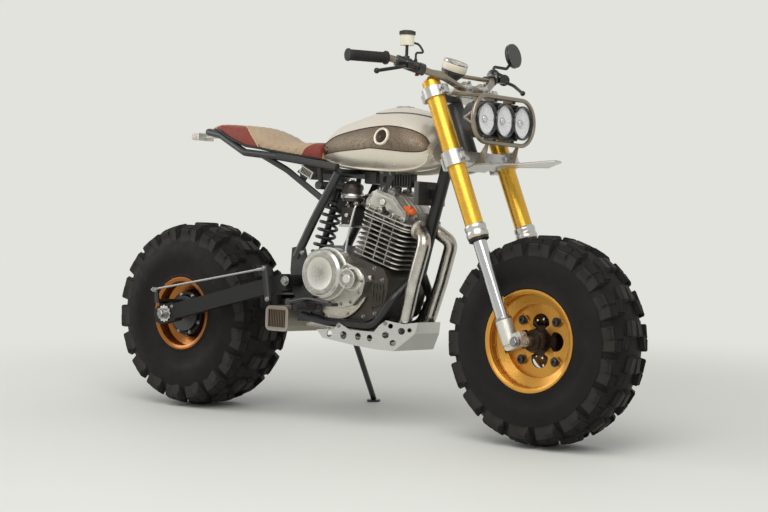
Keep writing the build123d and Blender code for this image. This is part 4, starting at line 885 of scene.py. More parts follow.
class MOTORCYCLE_OT_wheels(Step, bpy.types.Operator):
    """Adds rolled rim edges, fasteners, valves and the brake's small parts to both wheels."""
    bl_idname = "motorcycle.wheels"
    bl_label = "Wheel trim"

    def make(self, scene):
        self.front()
        self.rear()

    def front(self):
        """Rim edges and screws, the carrier's ribs, the hub's bolts and the valve."""
        bm = bmesh.new()
        for side in (-1, 1):
            wheel_ring(bm, FRONT_AXLE, circle(0.0026, 0.156, 0.0985 * side, 8))
            wheel_ring(bm, FRONT_AXLE, circle(0.0016, 0.1445, 0.087 * side, 8))
            wheel_ring(bm, FRONT_AXLE, circle(0.002, 0.1425, 0.064 * side, 8))
        for k in range(20):
            y = -0.0725
            at = spokewise(FRONT_AXLE, 0.1432, y, 18 * k + 9)
            bolt(bm, at, FRONT_AXLE + Vector((0, y, 0)) - at, 0.0036, 0.003, washer=False)
        piece("front_rim_edges", bm, "front_wheel", "rim_gold", 38)
        bm = bmesh.new()
        for k in range(4):
            at = spokewise(FRONT_AXLE, 0.086, -0.0402, 45 + 90 * k)
            bolt(bm, at, (0, -1, 0), 0.0112, 0.008, socket=True)
        lathe(bm, [(0.0302, 0), (0.036, 0), (0.036, 0.01), (0.033, 0.014), (0.0302, 0.014)],
              moved(FRONT_AXLE + Vector((0, -0.06, 0))) @ facing((0, -1, 0)), 40, closed=True)
        for k in range(6):
            bolt(bm, spokewise(FRONT_AXLE, 0.06, 0.083, 30 + 60 * k), (0, 1, 0), 0.0055, 0.005)
        at = spokewise(FRONT_AXLE, 0.119, -0.055, 200)
        inward = (FRONT_AXLE + Vector((0, -0.055, 0)) - at).normalized()
        drum(bm, at, at + inward * 0.028, 0.004, 16, 0.001)
        drum(bm, at + inward * 0.028, at + inward * 0.036, 0.0048, 16, 0.001)
        piece("front_wheel_bolts", bm, "front_wheel", "dark_steel", 38)
        bm = bmesh.new()
        arm = [(0.04, -0.015), (0.072, -0.0105), (0.104, -0.0125), (0.104, 0.0125), (0.072, 0.0105),
               (0.04, 0.015)]
        for a in (45, 135, 225, 315):
            place = moved(FRONT_AXLE + Vector((0, -0.0325, 0))) @ turn("Y", -a) @ turn("X", 90)
            plate(bm, arm, 0.0035, place, soft=0.001)
        piece("front_spider_ribs", bm, "front_wheel", "rim_gold", 38)

    def rear(self):
        """Rim edges, and the bolts of the sprocket and the brake drum."""
        bm = bmesh.new()
        for side in (-1, 1):
            wheel_ring(bm, REAR_AXLE, circle(0.0026, 0.126, 0.1155 * side, 8))
            wheel_ring(bm, REAR_AXLE, circle(0.0016, 0.115, 0.104 * side, 8))
        piece("rear_rim_edges", bm, "rear_wheel", "rim_copper", 38)
        bm = bmesh.new()
        for k in range(6):
            bolt(bm, spokewise(REAR_AXLE, 0.034, 0.1502, 60 * k), (0, 1, 0), 0.006, 0.006)
        for k in range(8):
            bolt(bm, spokewise(REAR_AXLE, 0.069, -0.0922, 45 * k + 20), (0, -1, 0), 0.005, 0.004)
        piece("rear_wheel_bolts", bm, "rear_wheel", "steel", 38)


# ---- saddle ----
# along the machine: (x, z) of the top and floor, (x, half width), and (x, z) of the two leather seams
SADDLE_TOP = [(0.078, 0.993), (0.129, 0.996), (0.209, 0.992), (0.265, 0.987), (0.3, 0.979),
              (0.343, 0.962), (0.38, 0.941), (0.42, 0.934), (0.462, 0.931), (0.521, 0.932), (0.586, 0.93)]
SADDLE_HALF = [(0.078, 0.062), (0.129, 0.084), (0.209, 0.098), (0.265, 0.104), (0.343, 0.108),
               (0.38, 0.11), (0.462, 0.106), (0.586, 0.092)]
SADDLE_FLOOR = [(0.078, 0.978), (0.129, 0.97), (0.168, 0.95), (0.211, 0.932), (0.27, 0.913),
                (0.33, 0.907), (0.418, 0.895), (0.522, 0.88), (0.586, 0.872)]
SADDLE_TAIL, SADDLE_NOSE = 0.07, 0.5925
TAIL_ROUND, NOSE_ROUND = 0.03, 0.012
SADDLE_START, SADDLE_RUN = 0.0705, 0.5215
SADDLE_ROWS, SADDLE_COLUMNS = 210, 96
PANEL_EDGE = [(0.093, 0.978), (0.1, 0.985), (0.118, 0.99), (0.16, 0.9908), (0.215, 0.9885),
              (0.25, 0.98), (0.276, 0.965), (0.3, 0.945), (0.325, 0.918), (0.342, 0.9), (0.347, 0.888)]
WEDGE_EDGE = [(0.505, 0.868), (0.513, 0.881), (0.528, 0.908), (0.547, 0.926), (0.556, 0.932)]


def at_x(points, x):
    """Value of a curve of (x, value) points, held past its ends."""
    if x <= points[0][0]:
        return points[0][1]
    for (x0, v0), (x1, v1) in zip(points, points[1:]):
        if x <= x1:
            return v0 + (v1 - v0) * (x - x0) / (x1 - x0)
    return points[-1][1]


def saddle_point(x, across):
    """A point of the smooth saddle; across runs from -1 at the right edge over the top to 1."""
    half, top, low = at_x(SADDLE_HALF, x), at_x(SADDLE_TOP, x), at_x(SADDLE_FLOOR, x)
    near_end = min(1.0, (x - SADDLE_TAIL) / TAIL_ROUND, (SADDLE_NOSE - x) / NOSE_ROUND)
    round_end = sqrt(max(0, 1 - (1 - near_end) ** 2))
    a = across * pi / 2
    y = half * (0.86 + 0.14 * round_end) * (1 if a > 0 else -1) * abs(sin(a)) ** 0.72
    rise = max(0.002, abs(cos(a))) ** 0.42
    return Vector((x, y, low + (top - low) * rise * (0.35 + 0.65 * round_end)))


def saddle_zone(p):
    """0 on the quilted top, 1 on the plain leather of the side panels and nose."""
    if abs(p.y) > 0.035 and p.x < 0.347 and p.z < at_x(PANEL_EDGE, p.x):
        return 1
    edge = [(z, x) for x, z in WEDGE_EDGE]
    return 1 if p.x > at_x(edge, p.z) else 0


class MOTORCYCLE_OT_saddle(Step, bpy.types.Operator):
    """Upholsters the saddle: quilted middle, plain panels, piping and a dark base edge."""
    bl_idname = "motorcycle.saddle"
    bl_label = "Saddle"

    def make(self, scene):
        smooth = [[saddle_point(SADDLE_START + SADDLE_RUN * i / SADDLE_ROWS, -1 + 2 * j / SADDLE_COLUMNS)
                   for j in range(SADDLE_COLUMNS + 1)] for i in range(SADDLE_ROWS + 1)]
        pitch = scene.motorcycle_shape.quilt_pitch
        grid = [self.padded_row(smooth, i, pitch) for i in range(SADDLE_ROWS + 1)]
        bm = bmesh.new()
        rows = sheet(bm, grid)
        zones = [saddle_zone(p) for row in smooth[:-1] for p in row[:-1]]
        for face, zone in zip(bm.faces, zones):
            face.material_index = zone
        for a, b in zip(rows, rows[1:]):
            bm.faces.new((a[0], b[0], b[-1], a[-1]))
        bm.faces.new(rows[0][::-1])
        bm.faces.new(rows[-1])
        obj = piece("saddle", bm, "frame", ["tan_leather", "red_leather"], 60, ["seat"])
        self.trim(grid)

    def padded_row(self, smooth, i, pitch):
        """One row across the saddle: puffed between crossing stitches on top, full on the panels."""
        row = smooth[i]
        middle = SADDLE_COLUMNS // 2
        reach = [0.0] * (SADDLE_COLUMNS + 1)
        for j in range(middle + 1, SADDLE_COLUMNS + 1):
            reach[j] = reach[j - 1] + (row[j] - row[j - 1]).length
        for j in range(middle - 1, -1, -1):
            reach[j] = reach[j + 1] - (row[j] - row[j + 1]).length
        line = []
        for j, p in enumerate(row):
            ahead = smooth[min(i + 1, SADDLE_ROWS)][j] - smooth[max(i - 1, 0)][j]
            across = row[min(j + 1, SADDLE_COLUMNS)] - row[max(j - 1, 0)]
            out = ahead.cross(across)
            out = out.normalized() if out.length > 1e-9 else Vector((0, 0, 1))
            if out.z < 0 and abs(p.y) < 0.04 or out.y * p.y < -1e-4:
                out = -out
            lift = -0.0015
            if saddle_zone(p) == 0:
                a, b = (p.x + reach[j]) / pitch, (p.x - reach[j]) / pitch
                puff = (abs(sin(pi * a)) * abs(sin(pi * b))) ** 0.42
                lift = 0.003 * puff - 0.002
            elif abs(p.y) > 0.03:
                lift = 0.0012
            line.append(p + out * lift)
        return line

    def trim(self, grid):
        """Piping where the panels meet, and the moulded edge of the base."""
        bm, skin = meshes(2)
        sheet(skin, grid)
        tree = BVHTree.FromBMesh(skin)
        skin.free()
        for side in (-1, 1):
            tube(bm, on_side(tree, along(PANEL_EDGE[:-1], 60), side, 0.0012), 0.0021, steps=8)
            tube(bm, on_side(tree, along(WEDGE_EDGE, 24), side, 0.001), 0.0019, steps=8)
        piece("saddle_piping", bm, "frame", "thread", 60)
        bm = bmesh.new()
        for j, out in ((0, -0.001), (-1, 0.001)):
            tube(bm, [row[j] + Vector((0, out, -0.002)) for row in grid[4::4]], 0.0045, steps=8)
        tube(bm, [grid[2][0], grid[2][-1]], 0.004, steps=8)
        piece("saddle_base_edge", bm, "frame", "black_plastic", 60)


# ---- tank ----
# (x, z) lines along each side of the tank, from the saddle forward
UPPER_RIB = [(0.584, 0.915), (0.628, 0.938), (0.684, 0.954), (0.787, 0.97), (0.87, 0.978),
             (0.918, 0.979), (0.973, 0.971), (1.009, 0.959), (1.031, 0.944), (1.043, 0.925)]
LOWER_RIB = [(0.59, 0.89), (0.637, 0.895), (0.701, 0.899), (0.805, 0.905), (0.852, 0.908),
             (0.936, 0.901), (0.988, 0.897), (1.026, 0.899), (1.041, 0.908)]
TANK_FLANGE = [(0.592, 0.878), (0.657, 0.858), (0.744, 0.848), (0.85, 0.842), (0.93, 0.841),
               (0.994, 0.849), (1.03, 0.866), (1.044, 0.892)]
BADGE_AT = (0.892, 0.945)
FAIRING_MIDDLE, FAIRING_LONG, FAIRING_WIDE = 0.886, 0.112, 0.086
CAP_AT = 0.872
CAP_HOLE = 0.028


class MOTORCYCLE_OT_tank(Step, bpy.types.Operator):
    """Lays the tank's textured band, its ribs, flange, badge ring and top fairing."""
    bl_idname = "motorcycle.tank"
    bl_label = "Tank trim"

    def make(self, scene):
        tree = surface("fuel_tank")
        self.panels(tree)
        self.ribs(tree)
        self.badge(tree)
        self.fairing(tree)

    def panels(self, tree):
        """The hammered band between the two ribs and the plain panel under it."""
        for name, high, low, finish, lift in (
                ("tank_band", UPPER_RIB, LOWER_RIB, "scaled_metal", 0.0008),
                ("tank_lower_panel", LOWER_RIB, TANK_FLANGE, "champagne_light", 0.0006)):
            bm = bmesh.new()
            for side in (-1, 1):
                ends = list(zip(along(high, 150), along(low, 150)))
                sheet(bm, [on_side(tree, [a.lerp(b, k / 18) for a, b in ends], side, lift)
                           for k in range(19)])
            piece(name, bm, "frame", finish, 60)

    def ribs(self, tree):
        """A raised line along each edge of the band, and the tank's lower flange."""
        bm, light = meshes(2)
        for side in (-1, 1):
            for curve in (UPPER_RIB, LOWER_RIB):
                tube(bm, on_side(tree, along(curve, 110), side, 0.001), 0.0017, steps=8)
            tube(light, on_side(tree, along(TANK_FLANGE, 110), side, 0.002), 0.0042, steps=10)
        piece("tank_ribs", bm, "frame", "carrier_bronze", 60)
        piece("tank_flange", light, "frame", "champagne_light", 60)

    def badge(self, tree):
        """A plain ring and stepped disc on each side."""
        ring, disc = meshes(2)
        for side in (-1, 1):
            at, normal = laid(tree, *BADGE_AT, side, 0.0)
            place = facing(normal, at)
            lathe(ring, [(0.0215, 0.001), (0.0222, 0.0036), (0.025, 0.0048), (0.0285, 0.004),
                         (0.0305, 0.001), (0.03, -0.004), (0.022, -0.004)], place, 64, closed=True)
            lathe(disc, [(0, 0.0036), (0.006, 0.0034), (0.008, 0.0018), (0.0135, 0.0014), (0.015, 0.003),
                         (0.019, 0.003), (0.0215, 0.001), (0.0215, -0.004)], place, 64)
        piece("tank_badge_ring", ring, "frame", "champagne")
        piece("tank_badge_disc", disc, "frame", "carrier_bronze")

    def fairing(self, tree):
        """Long low cover on top with a flush filler in the middle, and dark tubes round the cover and the
        filler as painted shadow in the gaps.
        """
        bm, gap_shadow = meshes(2)
        rings, turns = 16, 96

        def on_top(u, a, lift):
            x = FAIRING_MIDDLE + FAIRING_LONG * u * cos(a)
            y = FAIRING_WIDE * u * sin(a) * (1 - 0.1 * cos(a))
            where, _, _, _ = tree.ray_cast(Vector((x, y, 1.3)), Vector((0, 0, -1)))
            if where is None:
                where, _, _, _ = tree.find_nearest(Vector((x, y, 1.04)))
            return where + Vector((0, 0, lift))

        grid = []
        for i in range(rings + 1):
            u = 0.02 + 0.98 * i / rings
            lift = 0.0045 * (1 - max(0, (u - 0.9) / 0.1) ** 2) - 0.0006
            grid.append([on_top(u, 2 * pi * k / turns, lift) for k in range(turns + 1)])
        for row in grid:
            for k, p in enumerate(row):
                if (p - Vector((CAP_AT, 0, p.z))).length < CAP_HOLE:
                    row[k] = Vector((p.x, p.y, 1.0492))
        sheet(bm, grid)
        bmesh.ops.remove_doubles(bm, verts=bm.verts, dist=1e-5)
        piece("tank_fairing", bm, "frame", "champagne", 50, ["tank_cap"])
        # a dark tube round the cover's edge and a dark ring round the filler: painted shadow in the gaps
        rim = [on_top(1.0, 2 * pi * k / turns, 0.0004) for k in range(turns)]
        tube(gap_shadow, rim, 0.0022, steps=8, closed=True)
        top = Vector((CAP_AT, 0, 1.0496))
        lathe(gap_shadow, [(0.0265, 0), (0.0285, 0.0012), (0.03, 0)], moved(top), 48)
        piece("tank_gap_shadow", gap_shadow, "frame", "dark_grey", 50)
        cap = bmesh.new()
        lathe(cap, [(0, 0.003), (0.02, 0.0026), (0.0248, 0.0016), (0.0262, -0.001)],
              moved(top), 48)
        box(cap, (0.03, 0.006, 0.003), moved(top + Vector((0, 0, 0.0038))), 0.001)
        piece("filler_cap", cap, "frame", "champagne_light")


# ---- fork, bars and lamps ----
def on_fork(x, y, s):
    """A point x ahead of the fork's leg line, y to the left and s up it."""
    return FORK @ Vector((x, y, s))


def fork_place(y, s, x=0.0):
    """A place turned with the fork, at a point of it."""
    return FORK @ moved((x, y, s))


# the end of the right grip, the bend at its inner end and the clamp
BAR_KNEES = [Vector((0.969, -0.42, 1.176)), Vector((1.017, -0.28, 1.179)), Vector((1.118, -0.13, 1.13))]


def on_bar(y):
    """The point of the bar's inner straight run at a distance y to the left."""
    start, end = BAR_KNEES[1], BAR_KNEES[2]
    point = start.lerp(end, (abs(y) + start.y) / (start.y - end.y))
    return Vector((point.x, y, point.z))


def flip(p):
    """The same point on the other side of the machine."""
    return Vector((p[0], -p[1], p[2]))


# up the fork's legs: their tops, and each clamp's middle, thickness and places of its pinch bolts
LEG_TOP = 0.888
CLAMPS = ((0.836, 0.034, (0,)), (0.613, 0.048, (-0.3, 0.3)))
AXLE_NUT_OUT = 0.1732


class MOTORCYCLE_OT_fork(Step, bpy.types.Operator):
    """Adds the fork's seals, collars, caps, pinch bolts and axle nuts."""
    bl_idname = "motorcycle.fork"
    bl_label = "Fork trim"

    def make(self, scene):
        collars, seals, steel, ears = meshes(4)
        for side in (-1, 1):
            leg = fork_place(side * LEG_OUT, 0)
            lathe(collars, [(0.0292, 0.352), (0.0335, 0.352), (0.0345, 0.356), (0.0345, 0.366),
                            (0.0325, 0.369), (0.0325, 0.376), (0.034, 0.379), (0.034, 0.388),
                            (0.0315, 0.392), (0.0292, 0.392)], leg, 48, closed=True)
            lathe(seals, [(0.0216, 0.338), (0.027, 0.339), (0.0318, 0.342), (0.0322, 0.3505),
                          (0.0216, 0.3505)], leg, 48, closed=True)
            lathe(seals, [(0, LEG_TOP), (0.013, LEG_TOP), (0.0155, 0.885), (0.0155, 0.884), (0, 0.884)],
                  leg, 32)
            lathe(steel, [(0.0216, 0.08), (0.0268, 0.0805), (0.0275, 0.084), (0.0265, 0.088),
                          (0.0216, 0.09)], leg, 40, closed=True)
            self.pinches(steel, ears, side)
        for x, z in ((-0.038, 0.027), (-0.038, 0.063)):
            bolt(steel, on_fork(x, 0.0965, z), (0, -1, 0), 0.0055, 0.005)
        bolt(steel, on_fork(-0.035, 0, 0.8605), UP_FORK, 0.0125, 0.007)
        piece("fork_collars", collars, "steering", "machined_aluminium", 38)
        piece("fork_seals", seals, "steering", "hose_rubber", 38)
        piece("fork_bolts", steel, "steering", "steel", 38)
        piece("clamp_ears", ears, "steering", "machined_aluminium", 38)

    def pinches(self, steel, ears, side):
        """One leg's cap, the ears and bolts of both clamps, its foot's bolts, axle nut and riser bolts."""
        y = side * LEG_OUT
        bolt(steel, on_fork(0, y, LEG_TOP), UP_FORK, 0.0085, 0.006, washer=False)
        for s, thick, shares in CLAMPS:
            box(ears, (0.013, 0.026, thick * 0.86), fork_place(y, s, 0.0425), 0.002)
            for share in shares:
                at = on_fork(0.0435, y + side * 0.0135, s + thick * share)
                bolt(steel, at, (0, side, 0), 0.0042, 0.005, socket=True)
        for s in (0.016, -0.01):
            bolt(steel, on_fork(0.052, y, s), AHEAD, 0.0042, 0.006, socket=True)
        bolt(steel, FRONT_AXLE + Vector((0, side * AXLE_NUT_OUT, 0)), (0, side, 0), 0.0125, 0.01)
        riser = Vector((1.139, side * 0.044, 1.104)) + AHEAD * 0.0185
        for s in (-0.011, 0.011):
            bolt(steel, riser + UP_FORK * s, AHEAD, 0.0042, 0.005, socket=True)


CUP_LOW, CUP_HIGH = 1.2218, 1.2541
DIAL_START, DIAL_SWEEP, DIAL_MARKS = -225, 270, 40


class MOTORCYCLE_OT_controls(Step, bpy.types.Operator):
    """Ribs the grips, and adds the gauge's face, mirror glass, adjusters and fluid cup details."""
    bl_idname = "motorcycle.controls"
    bl_label = "Controls"

    def make(self, scene):
        self.grips()
        self.gauge()
        self.small()
        self.cup()

    def grips(self):
        """Ribbed sleeves with an inner flange and a rounded end."""
        bm = bmesh.new()
        end, knee = BAR_KNEES[0], BAR_KNEES[1]
        way = (end - knee).normalized()
        length = (end - knee).length
        outline = [(0.0112, 0.0142), (0.0212, 0.0142), (0.0214, 0.019), (0.0175, 0.02)]
        s = 0.0215
        while s < length - 0.004:
            outline += [(0.0158, s), (0.0158, s + 0.0014), (0.0172, s + 0.002), (0.0172, s + 0.004)]
            s += 0.0046
        outline += [(0.0165, length + 0.003), (0.0198, length + 0.0045), (0.0198, length + 0.0082),
                    (0.015, length + 0.0095), (0, length + 0.0098)]
        for side in (-1, 1):
            a = knee if side < 0 else flip(knee)
            w = way if side < 0 else flip(way)
            lathe(bm, outline, facing(w, a), 32)
        piece("ribbed_grips", bm, "steering", "grip_rubber", 25, ["grips"])

    def gauge(self):
        """The gauge's shell, rim, marked dial with its needle, and glass."""
        place = moved((1.0843, -0.032, 1.1703)) @ turn("Y", 20)
        shell, rim, dial, marks, glass = meshes(5)
        lathe(rim, [(0.0345, 0.0172), (0.0388, 0.015), (0.04, 0.018), (0.0392, 0.0225), (0.0368, 0.0232),
                    (0.0345, 0.0215)], place, 64, closed=True)
        lathe(dial, [(0, 0.0176), (0.0345, 0.0176)], place, 64)
        for k in range(DIAL_MARKS + 1):
            size = (0.005, 0.0009, 0.0004) if k % 5 == 0 else (0.0028, 0.0005, 0.0004)
            spin = turn("Z", DIAL_START + DIAL_SWEEP * k / DIAL_MARKS)
            box(marks, size, place @ spin @ moved((0.0305, 0, 0.0179)))
        needle = turn("Z", DIAL_START) @ moved((0.011, 0, 0.0186))
        box(marks, (0.028, 0.0012, 0.0006), place @ needle)
        lathe(marks, [(0, 0.0195), (0.003, 0.0192), (0.0036, 0.0178)], place, 20)
        lathe(glass, [(0, 0.0226), (0.02, 0.0222), (0.0345, 0.0208)], place, 48)
        lathe(shell, [(0.0402, 0.015), (0.0412, 0.013), (0.0412, -0.006), (0.0402, -0.008)], place, 64)
        piece("gauge_shell", shell, "steering", "cream_plastic")
        piece("gauge_rim", rim, "steering", "chrome")
        piece("gauge_dial", dial, "steering", "cream_plastic")
        piece("gauge_marks", marks, "steering", "gloss_black")
        piece("gauge_glass", glass, "steering", "lamp_glass", 60)

    def small(self):
        """Switch blocks, lever pivots and adjusters, and the mirror's rim and glass."""
        black, red, steel, shine = meshes(4)
        for side in (-1, 1):
            inner = on_bar(side * 0.192)
            way = (on_bar(side * 0.25) - inner).normalized()
            drum(black, inner - way * 0.008, inner + way * 0.016, 0.0195, 32, 0.003)
            box(black, (0.03, 0.026, 0.02), moved(inner + Vector((-0.014, 0, 0.004))), 0.004)
            for k in (0.4, -0.4):
                at = on_bar(side * (0.24 + 0.02 * k)) + Vector((0.012, 0, 0.0145))
                bolt(steel, at, (0.3, 0, 1), 0.0032, 0.003, socket=True)
            bolt(steel, (1.063, side * 0.254, 1.1662), (0, 0, 1), 0.005, 0.004)
            lathe(red, [(0, 0), (0.0062, 0), (0.0075, 0.002), (0.0075, 0.01), (0.0055, 0.012),
                        (0.0055, 0.018), (0, 0.018)],
                  facing((0.35, -side, -0.1), (1.066, side * 0.2375, 1.156)), 24)
            under = on_bar(side * 0.206) + Vector((0, 0, -0.018))
            drum(red, under, under + Vector((0, 0, -0.008)), 0.006, 20, 0.001)
        place = moved((1.064, 0.332, 1.246)) @ turn("Z", 14) @ turn("Y", 78)
        lathe(black, [(0.0385, -0.0062), (0.0412, -0.007), (0.0425, -0.0045), (0.0418, 0), (0.0405, 0)],
              place, 56, closed=True)
        lathe(shine, [(0, -0.0066), (0.0385, -0.0064)], place, 56)
        piece("switch_blocks", black, "steering", "gloss_black")
        piece("lever_adjusters", red, "steering", "maroon_anodised")
        piece("control_bolts", steel, "steering", "steel")
        piece("mirror_glass", shine, "steering", "chrome")

    def cup(self):
        """Paints the cup's lid and stalk black, and adds the lid's grip and screws."""
        obj = NODES["brake_reservoir"]
        obj.data.materials.append(use("lever_black"))
        move = UPRIGHT @ obj.matrix_world
        for face in obj.data.polygons:
            z = (move @ face.center).z
            face.material_index = 0 if CUP_LOW <= z <= CUP_HIGH else 1
        bm = bmesh.new()
        top = Vector((1.044, -0.232, 1.2663))
        lathe(bm, [(0, 0.0026), (0.017, 0.0024), (0.0205, 0)], moved(top), 40)
        for x, y in circle(0.0243, top.x, top.y):
            drum(bm, (x, y, top.z - 0.011), (x, y, top.z - 0.001), 0.0016, 6)
        piece("cup_lid_grip", bm, "steering", "lever_black")


LAMP_AT = (1.262, 1.002)
LAMP_PITCH = 0.1


class MOTORCYCLE_OT_lamps(Step, bpy.types.Operator):
    """Glazes the three headlamps over fluted reflectors, with rims, and finishes the tail lamp."""
    bl_idname = "motorcycle.lamps"
    bl_label = "Lamps"

    def make(self, scene):
        glass, bowl, rim, bulb, flutes = meshes(5)
        x, z = LAMP_AT
        for k in (-1, 0, 1):
            place = facing((1, 0, 0), (x - 0.009, LAMP_PITCH * k, z))
            lathe(glass, [(0.048, 0.0075), (0.044, 0.012), (0.03, 0.0148), (0, 0.016), (0, 0.014),
                          (0.03, 0.0128), (0.043, 0.0102), (0.047, 0.0062)], place, 64)
            lathe(bowl, [(0.0484, 0.0068), (0.043, 0.0046), (0.033, 0.0022), (0.02, 0.0006),
                         (0.01, 0.0002), (0, 0.0002)], place, 64)
            for inner, outer in zip(circle(0.016, steps=18), circle(0.041, steps=18)):
                start, end = place @ Vector((*inner, 0.0008)), place @ Vector((*outer, 0.0044))
                drum(flutes, start, end, 0.0011, 8, far=0.0022)
            lathe(bulb, [(0.0125, 0.0004), (0.012, 0.006), (0.008, 0.0092), (0, 0.0102)], place, 32)
            lathe(rim, [(0.0475, 0.005), (0.052, 0.003), (0.0545, 0.006), (0.0545, 0.015),
                        (0.052, 0.0182), (0.049, 0.0175), (0.0478, 0.012)], place, 64, closed=True)
        for k in (-0.5, 0.5):
            for up in (-1, 1):
                at = (x + 0.0002, LAMP_PITCH * k, z + up * 0.062)
                bolt(rim, at, (1, 0, 0), 0.0045, 0.004, socket=True)
        piece("headlamp_glass", glass, "steering", "lamp_glass", 60, ["lamp_lenses"])
        # bowls and flutes carry the painted reflection of the matt white reflector finish
        piece("headlamp_bowls", bowl, "steering", "reflector", 60)
        piece("headlamp_flutes", flutes, "steering", "reflector", 60)
        piece("headlamp_bulbs", bulb, "steering", "chrome", 60)
        piece("headlamp_rims", rim, "steering", "gloss_black")
        self.tail()
        self.fender()

    def tail(self):
        """The tail lamp's fluted lens on a plate with a bracket."""
        shell, lens = meshes(2)
        block(shell, (-0.026, -0.0395, 0.9405), (-0.0195, 0.0395, 0.9675), 0.002)
        block(shell, (-0.02, -0.021, 0.9505), (0.046, 0.021, 0.9545), 0.001)
        for y in (-0.014, 0.014):
            bolt(shell, (0.016, y, 0.9545), (0, 0, 1), 0.0035, 0.003)
        block(lens, (-0.058, -0.0385, 0.9415), (-0.026, 0.0385, 0.9665), 0.007)
        for k in range(7):
            y = -0.03 + 0.01 * k
            drum(lens, (-0.0565, y, 0.946), (-0.0565, y, 0.962), 0.0022, 8)
        piece("tail_lamp_lens", lens, "frame", "tail_lens", 50, ["tail_light"])
        piece("tail_lamp_shell", shell, "frame", "cast_aluminium", 50)

    def fender(self):
        """Folded edges, bronze tip and bolts of the front fender."""
        bm, tip, bolts = meshes(3)
        place = moved((1.38, 0, 0.8648)) @ turn("Y", -9)
        plate(tip, [(0.004, -0.0915), (0.004, 0.0915), (0.0795, 0.0335), (0.0915, -0.0215)], 0.0016,
              place @ moved((0, 0, 0.0002)), soft=0.0004)
        for y in (-0.0905, 0.0905):
            tube(bm, [(1.214, y, 0.8625), (1.38, y, 0.8625)], 0.0028, steps=10)
        for x, y in ((1.233, -0.07), (1.233, 0.07), (1.233, -0.024), (1.233, 0.024)):
            bolt(bolts, (x, y, 0.8676), (0, 0, 1), 0.0045, 0.004)
        for y in (-0.045, 0.045):
            bolt(bolts, (1.345, y, 0.8642), (0, 0, 1), 0.004, 0.003)
        piece("fender_edges", bm, "steering", "machined_aluminium", 50)
        piece("fender_tip", tip, "steering", "bronze_plate", 50)
        piece("fender_bolts", bolts, "steering", "steel")


# ---- engine ----
OUT_OF_PORT = CYLINDER.to_3x3() @ Vector((1, 0, 0))
UP_BORE = CYLINDER.to_3x3() @ Vector((0, 0, 1))


def on_head(x, y, up):
    """A point x ahead of the bore, y to the left, and up the bore from where the head begins."""
    return CYLINDER @ Vector((x, y, HEAD + up))


CLUTCH_AT = (0.686, 0.496)
DRIVE_CAP_AT = (0.794, 0.483)
LEFT_COVER_AT = (0.78, 0.475)
NECK = [(0.7, 0.424), (0.746, 0.392), (0.795, 0.401), (0.828, 0.437), (0.839, 0.476), (0.832, 0.495),
        (0.806, 0.516), (0.764, 0.53), (0.7, 0.566)]
NECK_BOLTS = ((0.751, 0.4), (0.79, 0.408), (0.822, 0.441), (0.8325, 0.478), (0.803, 0.509), (0.765, 0.523))
SKIRT = [(0.84, 0.496), (0.837, 0.476), (0.829, 0.447), (0.813, 0.413), (0.787, 0.383), (0.76, 0.364),
         (0.73, 0.352), (0.668, 0.35), (0.628, 0.384), (0.598, 0.44), (0.62, 0.5), (0.72, 0.52)]
SKIRT_FRONT = [(z, x) for x, z in reversed(SKIRT[1:6])]
CASE_EDGE = ((0.597, 0.44), (0.626, 0.383), (0.668, 0.351), (0.82, 0.345), (0.881, 0.371), (0.9035, 0.44),
             (0.9035, 0.49))
# bolts round the crankcase's edge; on the right the lower cover hides the second list
CASE_BOLTS = ((0.884, 0.484), (0.858, 0.374), (0.812, 0.362), (0.85, 0.52))
LEFT_CASE_BOLTS = ((0.862, 0.42), (0.673, 0.372), (0.63, 0.412), (0.608, 0.47), (0.612, 0.53),
                   (0.646, 0.572))
# faces of the barrel nearer its bore's axis than this, deep between the fins, get painted shade
FIN_SHADE_RADIUS = 0.0745
# how far the engine's faces stand to the left of the middle; those on the right are negative
CLUTCH_FACE, CLUTCH_RIM = -0.1843, -0.142
CAP_FACE, CAP_SCREWS = -0.1763, -0.1775
NECK_PLANE, NECK_FACE = -0.1441, -0.1462
CASE_FACE, CASE_JOINT = 0.1022, 0.1026
WEB_LINE, WEB_PLANE = -0.1036, -0.1035
SKIRT_PLANE, SKIRT_ROLL, SKIRT_RIB, SKIRT_BOSS = -0.1078, -0.1106, -0.1102, -0.1112
LEFT_COVER_FACE, LEFT_COVER_FLANGE = 0.1483, 0.1363
ROCKER_FACE = 0.0785
SKID_SIDE = 0.139
# the skid plate's sides fold in by this many degrees, from here forward
SKID_FOLD, SKID_FOLD_AT = 38.4, 0.905
# middle of the left exhaust port's face, in the cylinder's own frame
PORT = (0.1075, 0.044, 0.152)


